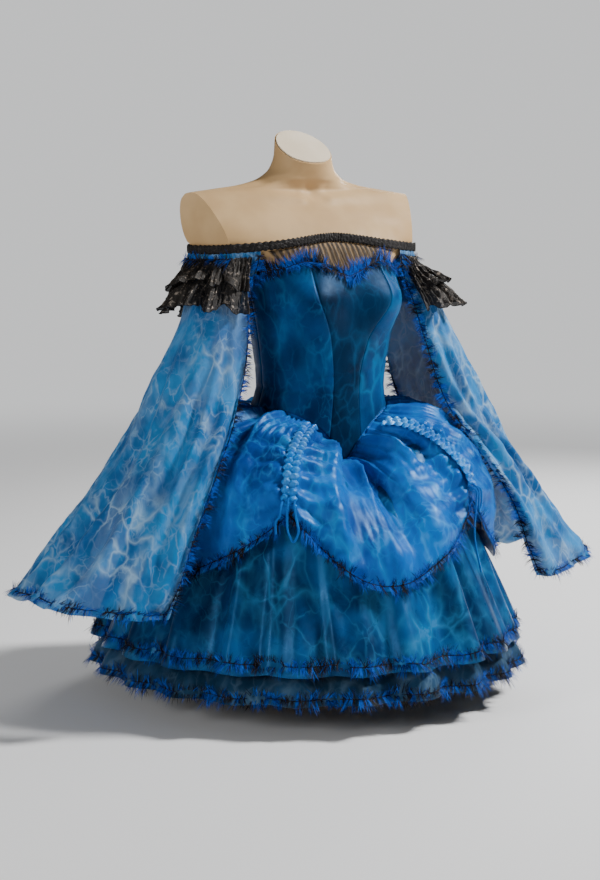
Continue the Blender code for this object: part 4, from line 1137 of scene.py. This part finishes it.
def fine_sleeve(side, name):
    across, down = np.meshgrid(np.linspace(0, 1, SLEEVE_COLUMNS + 1), np.linspace(1, 0, SLEEVE_ROWS + 1))
    grid = sleeve_point(side, across, down)[:, ::side]
    across = across[:, ::side]
    hang = ease_in((down - 0.12) / 0.5)
    calm = ease_in(np.minimum(across, 1 - across) / 0.07) * ease_in((1 - down) / 0.06)
    folds = SLEEVE_LONG_FOLD * hang * np.cos(FULL_TURN * (9 * across + 0.45 * np.sin(4 * down + side)))
    folds = folds + SLEEVE_SOFT_FOLD * hang * calm * unevenness(across * 9, down * 1.6, seed=15 + side)
    gathers = SLEEVE_GATHER * within(down, low=0.0, rise=0.02, high=0.22, fall=0.2)
    gathers = gathers * np.cos(FULL_TURN * SLEEVE_GATHERS * across)
    crinkle = SLEEVE_CRINKLE * hang * unevenness(across * 14, down * 11, seed=11 + side)
    grid = pushed(grid, SLEEVE_LIFT + folds + gathers + crinkle)
    piece = surface("sleeve_drape_" + name, grid, FINISH["sky"], ["sleeve_" + name])


def fine_ruffle(side, side_name, row):
    share_across = np.linspace(0, 1, RUFFLE_COLUMNS + 1)
    share = np.linspace(1, 0, RUFFLE_ROWS)[:, None]
    across = blend(RUFFLE_START, 1 - RUFFLE_START, share_across) + 0 * share
    ragged = 0.013 * np.sin(FULL_TURN * (RUFFLE_WAVES * share_across + 0.3))
    ragged = ragged + 0.008 * np.sin(31 * share_across + side)
    ragged = ragged + 0.007 * unevenness(share_across * 6, 0, seed=41 + side)
    down = blend(row.sewn, row.hem, share) + share ** 2 * ragged
    base = sleeve_point(side, across, down)[:, ::side]
    flip = share_across[::side] + 0 * share
    wave = np.cos(FULL_TURN * RUFFLE_WAVES * flip)
    ends = 0.45 + 0.55 * ease_in(np.minimum(flip, 1 - flip) / 0.25)
    lift = row.lift_sewn + (row.lift_hem - row.lift_sewn) * share ** 0.8 * ends
    lift = lift + (RUFFLE_WAVE_DEPTH + RUFFLE_FLARE * share) * share * wave * ends
    small = np.cos(FULL_TURN * (RUFFLE_CRINKLES * flip + 0.6 * np.sin(13 * flip + 2 * share)))
    crinkle = RUFFLE_CRINKLE * small * (0.25 + 0.75 * share)
    crinkle = crinkle + RUFFLE_UNEVEN * unevenness(flip * 40, share * 3, seed=31 + side)
    grid = pushed(base, SHEER_CLOTH + lift + crinkle)
    name = "ruffle_" + row.name + "_" + side_name
    piece = surface(name + "_chiffon", grid, FINISH["charcoal"], [name])
    hem = rope(name + "_rolled_edge", grid[0], HEM_ROLL_RADIUS, FINISH["edge"], [])


# Overskirt and skirt

OVERSKIRT_LEVELS = np.concatenate((np.linspace(0, 5, 56), np.linspace(5.1, 7, 14)))
OVERSKIRT_COLUMNS_A_DEGREE = 1.7
OVERSKIRT_WALL = 0.0007
OVERSKIRT_LIFT = 0.0005
# Depths of the overskirt's gathers and folds
SEAM_GATHER = 0.0046
DEEP_FOLD = 0.0200
LONG_FOLD = 0.0080
DRAG_FOLD = 0.0060
SOFT_FOLD = 0.0034
FINE_CRINKLE = 0.0006
DRAG_REACH = 0.070
DRAG_SPACING = 0.085
DRAG_STARTS_OVER = 0.012
CASING_CALM = 0.014
# Depths of the skirt layers' folds
SKIRT_SOFT_SHARE = 1.25
SKIRT_UNEVEN = 0.0026
SKIRT_WALL = 0.0007
LAYER_COLUMNS = 360
INWARD_FOLDS = 0.40
FLOUNCE_DRAWN_IN = 0.014


def coarse_overskirt(turns):
    """Rows of the source's overskirt from the hem up."""
    grid = [overskirt_point(turns, np.full_like(turns, share)) for share in OVERSKIRT_SHARES[::-1]]
    top = bodice_edge(BODICE_BOTTOM, turns)
    drop = seam_drop(turns)
    for height, out in [(top - share * drop, out) for share, out in OVERSKIRT_SEAM_ROWS] + [(top + TUCK, 0.0)]:
        radius = bodice_radius(turns, height) - BODICE_EASE + OVERSKIRT_EASE + out
        grid.append(polar(turns, radius, height, form_centre(height)))
    return np.array(grid)


def beside_casings(turns, girth):
    """Distance along the cloth from each casing's middle line."""
    return [wrapped(turns - math.radians(casing_turn)) * girth for casing_turn in CASING_TURNS]


def fine_overskirt_grid(turns, levels):
    """The overskirt with small gathers at its seam and drag folds beside its casings."""
    base = refine(coarse_overskirt(turns), levels)
    level = levels[:, None]
    small = 1 - np.abs(np.sin(wavy(turns, count=36, bend=1.5, bends=7) + 0.25 * level))
    folds = SEAM_GATHER * within(level, low=1.6, rise=3.6, high=6.3, fall=0.9) * small
    deep = 1 - np.abs(np.sin(wavy(turns, count=11, bend=0.9, bends=4) + 0.30 * level)) ** 0.8
    deep = deep - 0.36 * ease_in(5.2 - level)
    folds = folds + DEEP_FOLD * within(level, low=1.2, rise=3.0, high=6.1, fall=1.9) * deep
    long = np.cos(wavy(turns, count=14, bend=2.4, bends=3, phase=0.5) + 0.9 * np.sin(0.8 * level + 2 * turns))
    folds = folds + LONG_FOLD * within(level, low=0.0, rise=1.2, high=5.0, fall=1.5) * long
    for aside in beside_casings(turns, OVERSKIRT_PEAK_RADIUS):
        aside = np.abs(aside)
        beside = np.exp(-(aside / DRAG_REACH) ** 1.5) * within(level, low=0.0, rise=0.4, high=4.2, fall=1.2)
        drag = np.cos(FULL_TURN * (level * 1.5 - aside / DRAG_SPACING + 0.3 * np.sin(3 * turns)))
        folds = folds + DRAG_FOLD * beside * drag * ease_in(aside / DRAG_STARTS_OVER)
    body = within(level, low=0.0, rise=0.8, high=4.5, fall=1.5)
    folds = folds + SOFT_FOLD * body * unevenness(turns * 4.2, level * 0.28, seed=71)
    folds = folds + FINE_CRINKLE * body * unevenness(turns * 13, level * 1.2, seed=72)
    for aside in beside_casings(turns, np.hypot(base[..., 0], base[..., 1])):
        folds = folds * (1 - np.exp(-(aside / CASING_CALM) ** 4))
    return pushed(base, OVERSKIRT_LIFT + folds)


def fine_overskirt(name, first, last):
    turns = even_turns(first, last, round((last - first) * OVERSKIRT_COLUMNS_A_DEGREE))
    grid = fine_overskirt_grid(turns, OVERSKIRT_LEVELS)
    piece = surface(name + "_organza", grid, FINISH["bright"], [name], OVERSKIRT_WALL)


def coarse_skirt(turns):
    """Rows of the source's skirt from the hem up."""
    top = bodice_edge(BODICE_BOTTOM, turns)
    heights = [top + 0.8 * TUCK]
    heights += [top - skirt_leaves(turns) - drop for drop in SKIRT_DROPS]
    heights += [blend(heights[-1], SKIRT_HEM, share) for share in SKIRT_SHARES]
    return np.array([skirt_point(turns, height, 0.0) for height in heights[::-1]])


def coarse_flounce(turns):
    """Rows of the source's flounce from the hem up to its seam."""
    seam = coarse_skirt(turns)[FLOUNCE_SEAM_ROW][..., 2]
    rows = [skirt_point(turns, np.full_like(turns, height), FLOUNCE_SET_IN) for height in FLOUNCE_HEIGHTS[::-1]]
    rows.append(skirt_point(turns, seam, FLOUNCE_SEWN_IN))
    return np.array(rows)


# Fold depth, and width and length of each half as cut
LAYERS = table(
    "name grid_of levels depth seed flat",
    ("skirt", coarse_skirt, np.linspace(0, 5, 50), 0.0045, 21, (1.25, 0.43)),
    ("flounce", coarse_flounce, np.linspace(0, 2, 20), 0.0026, 23, (1.25, 0.21)),
)


def layer_folds(turns, level, layer):
    """Long folds that fade upwards and stand out more than they go in."""
    hang = ease_in((3.4 - level) / 3.0)
    folds = np.cos(wavy(turns, count=37, bend=2.2, bends=2, phase=layer.seed) + 0.4 * level)
    soft = np.cos(wavy(turns, count=19, bend=2.0, bends=3, phase=layer.seed) + 0.5 * np.sin(level + 2 * turns))
    total = layer.depth * hang * (folds + SKIRT_SOFT_SHARE * soft)
    total = total + SKIRT_UNEVEN * hang * unevenness(turns * 6, level * 0.5, seed=layer.seed)
    return np.where(total < 0, INWARD_FOLDS * total, total)


def fine_skirt_half(layer, half, first):
    turns = even_turns(first, first + 180, LAYER_COLUMNS)
    level = layer.levels[:, None]
    folds = layer_folds(turns, level, layer)
    if layer.name == "flounce":
        folds = folds - FLOUNCE_DRAWN_IN * ease_in((level - 0.25) / 0.5)
    grid = pushed(refine(layer.grid_of(turns), layer.levels), folds)
    name = layer.name + "_" + half
    piece = surface(name + "_organza", grid, FINISH[layer.name], [name], SKIRT_WALL)


# Casings and drawstrings

CASING_RUCHES = 17
CASING_TOP_LEVEL = 4.6
CASING_ROWS = 170
CASING_COLUMNS = 15
CASING_WALL = 0.0006
CASING_LIFT = 0.0028
CASING_PUFF = 0.0028
CASING_RUCHE = 0.0034
CASING_UNEVEN = 0.0004
CORD_STEP = 0.003
CORD_STOPS_LEAST = 16


def fine_casing(index, turn):
    """Two rows of ruched puffs beside a drawn-in middle line."""
    levels = np.linspace(CASING_LOW_ROW, CASING_TOP_LEVEL, CASING_ROWS)
    local = fine_overskirt_grid(math.radians(turn) + np.radians(np.array([-0.5, 0.0, 0.5])), levels)
    normal = grid_normals(local)[:, 1:2]
    sideways = unit(np.gradient(local, axis=1)[:, 1:2])
    across = np.linspace(-1, 1, CASING_COLUMNS)
    along = np.linspace(0, 1, CASING_ROWS)[:, None]
    puffs = np.abs(np.sin(math.pi * across)) ** 0.7
    ruche = np.cos(FULL_TURN * (CASING_RUCHES * along + 0.12 * np.sign(across) + 0.04 * np.sin(9 * along)))
    lift = CASING_LIFT + CASING_OFF + CASING_PUFF * puffs + CASING_RUCHE * puffs * ruche
    lift = lift + CASING_UNEVEN * unevenness(across * 2, along * 30, seed=index)
    widen = 1 + 0.16 * np.cos(FULL_TURN * CASING_RUCHES * along + 0.6) * np.abs(across) ** 3
    grid = local[:, 1:2] + sideways * (across * widen * CASING_WIDTH / 2)[..., None]
    grid = grid + normal * (SHEER_CLOTH + lift)[..., None]
    name = "casing_" + str(index)
    # Its finish is the overskirt's organza painted lighter, as a painted highlight.
    piece = surface(name + "_ruched", grid, FINISH["ruched"], [name], CASING_WALL)


def drawstring_routes(row):
    """The loop's and the tail's own points, as in the part's source."""
    loop = [cord_stop(row.turn, 0.0, CORD_START)]
    loop += hanging_way(LOOP_WAY, row.turn, row.loop_drop)
    loop.append(cord_stop(row.turn, CORD_APART, CORD_START))
    tail = [cord_stop(row.turn, -CORD_APART, CORD_START)]
    tail += hanging_way(TAIL_WAY, row.turn, row.tail_drop)
    return loop, tail


def fine_route(points):
    """Even points on a smooth curve through the route's own points."""
    points = np.array(points)
    steps = np.linalg.norm(np.diff(points, axis=0), axis=1)
    keys = np.concatenate(([0.0], np.cumsum(steps)))
    stops = np.linspace(0, keys[-1], max(CORD_STOPS_LEAST, round(keys[-1] / CORD_STEP)))
    return np.stack([read_curve(keys, way, np.gradient(way, keys), stops) for way in points.T], axis=-1)


def fine_drawstring(index, row):
    for kind, points in zip(("loop", "tail"), drawstring_routes(row)):
        route = fine_route(points)
        name = "drawstring_" + kind + "_" + str(index)
        piece = rope(name + "_braid", route, CORD_RADIUS, FINISH["cord"], [name])


# Fringe: a twisted core with many threads in tufts, blue and dark by turns

THREADS_A_TUFT = 17
TUFTS_LEAST = 6
TUFT_JITTER = 0.35
THREAD_ROOT_SPREAD = 0.0011
THREAD_LEAN = 0.45
THREADS_OUTWARD = 0.56
THREAD_LEANS = (0.05, 1.2)
THREAD_WIDTHS = (0.00035, 0.00068)
THREAD_LENGTHS = (0.6, 1.1)
THREAD_ROOT_LIFT = 0.0006
THREAD_CURL = 0.6
THREAD_FLOOR = 0.004
DARK_STRAYS = 0.15
CORE_RADIUS = 0.0009
# Places along a thread, and its width there
THREAD_STOPS = ((0.0, 1.0), (0.36, 0.95), (0.72, 0.7))
HEM_FRINGE_LEVELS = np.array([0.10, 0.12, 0.14])
SHOULDER_FRINGE_SHARES = (0.14, 0.09, 0.04)
NECKLINE_FRINGE_ROWS = [-1, -3, -5]
SLEEVE_FRINGE_MARGIN = 0.010
SLEEVE_FRINGE_DOWN = 0.985
SLEEVE_FRINGE_STEP = 0.004
SLEEVE_EDGE_STOPS = 170
SLEEVE_HEM_STOPS = 328
NECKLINE_SKIP = 6


def threads(name, path, normals, away, reach, closed, seed, tufts_a_metre=150, back=0.8, droop=0.25):
    random = np.random.default_rng(seed)
    after = np.roll(path, -1, axis=0) if closed else path[1:]
    before = path if closed else path[:-1]
    ends = np.concatenate(([0.0], np.cumsum(np.linalg.norm(after - before, axis=1))))
    total = ends[-1]
    tufts = max(TUFTS_LEAST, int(total * tufts_a_metre))
    at_tuft = (np.arange(tufts) + random.uniform(-TUFT_JITTER, TUFT_JITTER, tufts)) * total / tufts
    count = THREADS_A_TUFT * tufts
    tuft = np.repeat(np.arange(tufts), THREADS_A_TUFT)
    at = np.clip(at_tuft[tuft] + random.normal(0, THREAD_ROOT_SPREAD, count), 0, total - 1e-6)
    looped = [np.concatenate((array, array[:1])) if closed else array for array in (path, normals, away)]
    root, normal, out = [np.stack([np.interp(at, ends, way) for way in array.T], axis=-1) for array in looped]
    root = root + normal * THREAD_ROOT_LIFT
    ahead = np.cross(normal, out)
    way = np.where(random.uniform(0, 1, count) < THREADS_OUTWARD, 1.0, -back)[:, None]
    spread = random.normal(0, 0.30, tufts)[tuft] + random.normal(0, 0.28, count)
    lean = THREAD_LEAN + 0.25 * random.uniform(-1, 1, tufts)[tuft] + random.normal(0, 0.18, count)
    lean = np.clip(lean, *THREAD_LEANS)[:, None]
    direction = unit(way * out + spread[:, None] * ahead + lean * normal)
    clump = 0.22 * np.sin(FULL_TURN * at_tuft / 0.083 + seed) + 0.10 * np.sin(FULL_TURN * at_tuft / 0.031)
    long = (0.85 + clump + 0.20 * random.uniform(-1, 1, tufts))[tuft]
    long = (reach * long * random.uniform(*THREAD_LENGTHS, count))[:, None]
    curl = random.normal(0, 0.22, (count, 1)) * ahead - droop * np.array([0, 0, 1.0])
    aside = np.cross(direction, normal)
    aside = aside / np.maximum(np.linalg.norm(aside, axis=1, keepdims=True), 1e-6)
    wide = random.uniform(*THREAD_WIDTHS, count)[:, None]
    points = []
    for share, narrow in THREAD_STOPS:
        centre = root + direction * long * share + curl * long * share ** 2 * THREAD_CURL
        points += [centre - aside * wide * narrow, centre + aside * wide * narrow]
    tip = root + direction * long + curl * long * THREAD_CURL
    tip[:, 2] = np.maximum(tip[:, 2], THREAD_FLOOR)
    verts = np.stack(points + [tip], axis=1).reshape(-1, 3)
    first = np.arange(count)[:, None] * (len(points) + 1)
    quads = np.concatenate((first + [0, 1, 3, 2], first + [2, 3, 5, 4]), axis=0)
    data = bpy.data.meshes.new(name + "_threads")
    data.from_pydata(verts.tolist(), [], quads.tolist() + (first + [4, 5, 6]).tolist())
    share = 0.42 + 0.40 * np.sin(FULL_TURN * at_tuft / 0.104 + 2 * seed)
    dark = (random.uniform(0, 1, tufts) < share)[tuft].astype(np.int32)
    dark = np.where(random.uniform(0, 1, count) < DARK_STRAYS, 1 - dark, dark)
    data.shade_smooth()
    show(bpy.data.objects.new(name + "_threads", data), FINISH["thread"], [name])
    data.materials.append(FINISH["dark_thread"])
    data.polygons.foreach_set("material_index", np.tile(dark, 3))
    rope(name + "_core", path + normals * THREAD_ROOT_LIFT, CORE_RADIUS, FINISH["dark_thread"], [],
         closed)


def frame_of(grid, closed):
    """Path, normals and the way out past the edge, from three rows of points, the first outermost."""
    return grid[1], grid_normals(grid, closed)[1], unit(grid[0] - grid[2])


def facing_from(normals, outward):
    """The normals, turned to the side that the outward vectors are on."""
    return normals * np.sign(np.sum(normals * outward, axis=1, keepdims=True))


def hem_threads():
    turns = np.radians(np.arange(0, 360, 0.5))
    for layer, seed in zip(LAYERS, (3, 4)):
        base = refine(layer.grid_of(turns), HEM_FRINGE_LEVELS)
        grid = pushed(base, 0.0010 + layer_folds(turns, HEM_FRINGE_LEVELS[:, None], layer), closed=True)
        threads("fringe_" + layer.name + "_hem", *frame_of(grid, True), 0.0235, True, seed)
    grid = fine_overskirt_grid(turns, HEM_FRINGE_LEVELS)
    grid = pushed(grid, np.full(grid.shape[:2], 0.0009), closed=True)
    threads("fringe_overskirt_hem", *frame_of(grid, True), 0.0225, True, seed=5)


def sleeve_threads(side, name):
    """Down one edge, along the hem and up the other, as the source's strip runs."""
    edge = np.linspace(0.012, SLEEVE_FRINGE_DOWN, SLEEVE_EDGE_STOPS)
    hem = np.linspace(SLEEVE_FRINGE_MARGIN, 1 - SLEEVE_FRINGE_MARGIN, SLEEVE_HEM_STOPS + 2)[1:-1]
    first = np.full_like(edge, SLEEVE_FRINGE_MARGIN)
    across = np.concatenate((first, hem, 1 - first))
    down = np.concatenate((edge, np.full_like(hem, SLEEVE_FRINGE_DOWN), edge[::-1]))
    step = SLEEVE_FRINGE_STEP
    here = sleeve_point(side, across, down)
    by_across = sleeve_point(side, across + step, down) - sleeve_point(side, across - step, down)
    by_down = sleeve_point(side, across, down + step) - sleeve_point(side, across, down - step)
    height = here[:, 2]
    middle = (side * column(SLEEVE, "centre_x", height), column(SLEEVE, "centre_y", height), height)
    normals = facing_from(unit(np.cross(by_down, by_across) * side), here - np.stack(middle, axis=-1))
    out = by_down.copy()
    out[:SLEEVE_EDGE_STOPS] = -by_across[:SLEEVE_EDGE_STOPS]
    out[-SLEEVE_EDGE_STOPS:] = by_across[-SLEEVE_EDGE_STOPS:]
    threads("fringe_sleeve_" + name, here + normals * 0.0016, normals, unit(out), 0.0190, False, seed=6 + side)


def shoulder_threads(side, name):
    row = RUFFLES[0]
    across = blend(RUFFLE_START, 1 - RUFFLE_START, np.linspace(0.14, 0.97, 200))
    inside = np.array([side * 0.10, 0.0, 0.70])
    rows = []
    for share in SHOULDER_FRINGE_SHARES:
        base = sleeve_point(side, across, np.full_like(across, blend(row.sewn, row.hem, share)))
        lift = row.lift_sewn + (row.lift_hem - row.lift_sewn) * share ** 0.8
        rows.append(base + unit(base - inside) * (SHEER_CLOTH * 2 + lift + 0.001))
    out = unit(rows[0] - rows[2])
    normals = facing_from(unit(np.cross(np.gradient(rows[1], axis=0), out)), rows[1] - inside)
    threads("fringe_shoulder_" + name, rows[1], normals, out, 0.0200, False, seed=9 + side)


def neckline_threads(right, centre, left):
    whole = np.concatenate((right[:, NECKLINE_SKIP:-1], centre, left[:, 1:-NECKLINE_SKIP]), axis=1)
    path, inward, out = frame_of(whole[NECKLINE_FRINGE_ROWS], False)
    threads("fringe_neckline", path - inward * (BODICE_CLOTH + 0.0006), -inward, out, 0.0260, False, seed=12,
            tufts_a_metre=340, back=1.0, droop=0.05)


place_camera()
place_floor()
place_lights()
fine_form()
fine_band()
fine_yoke("front", 0.0)
fine_yoke("back", math.pi)
bodice_grids = [fine_panel(panel) for panel in PANELS]
for hand, hand_name in ((1, "left"), (-1, "right")):
    fine_sleeve(hand, hand_name)
    for tier in RUFFLES:
        fine_ruffle(hand, hand_name, tier)
    sleeve_threads(hand, hand_name)
    shoulder_threads(hand, hand_name)
fine_overskirt("overskirt_front", -OVERSKIRT_SEAM_TURN, OVERSKIRT_SEAM_TURN)
fine_overskirt("overskirt_back", OVERSKIRT_SEAM_TURN, 360 - OVERSKIRT_SEAM_TURN)
for skirt_layer in LAYERS:
    fine_skirt_half(skirt_layer, "front", -90)
    fine_skirt_half(skirt_layer, "back", 90)
OVERSKIRT_ALL_ROUND = whole_overskirt()
for number, casing_turn in enumerate(CASING_TURNS, start=1):
    fine_casing(number, casing_turn)
for number, string in enumerate(DRAWSTRINGS, start=1):
    fine_drawstring(number, string)
neckline_threads(*bodice_grids[:3])
hem_threads()
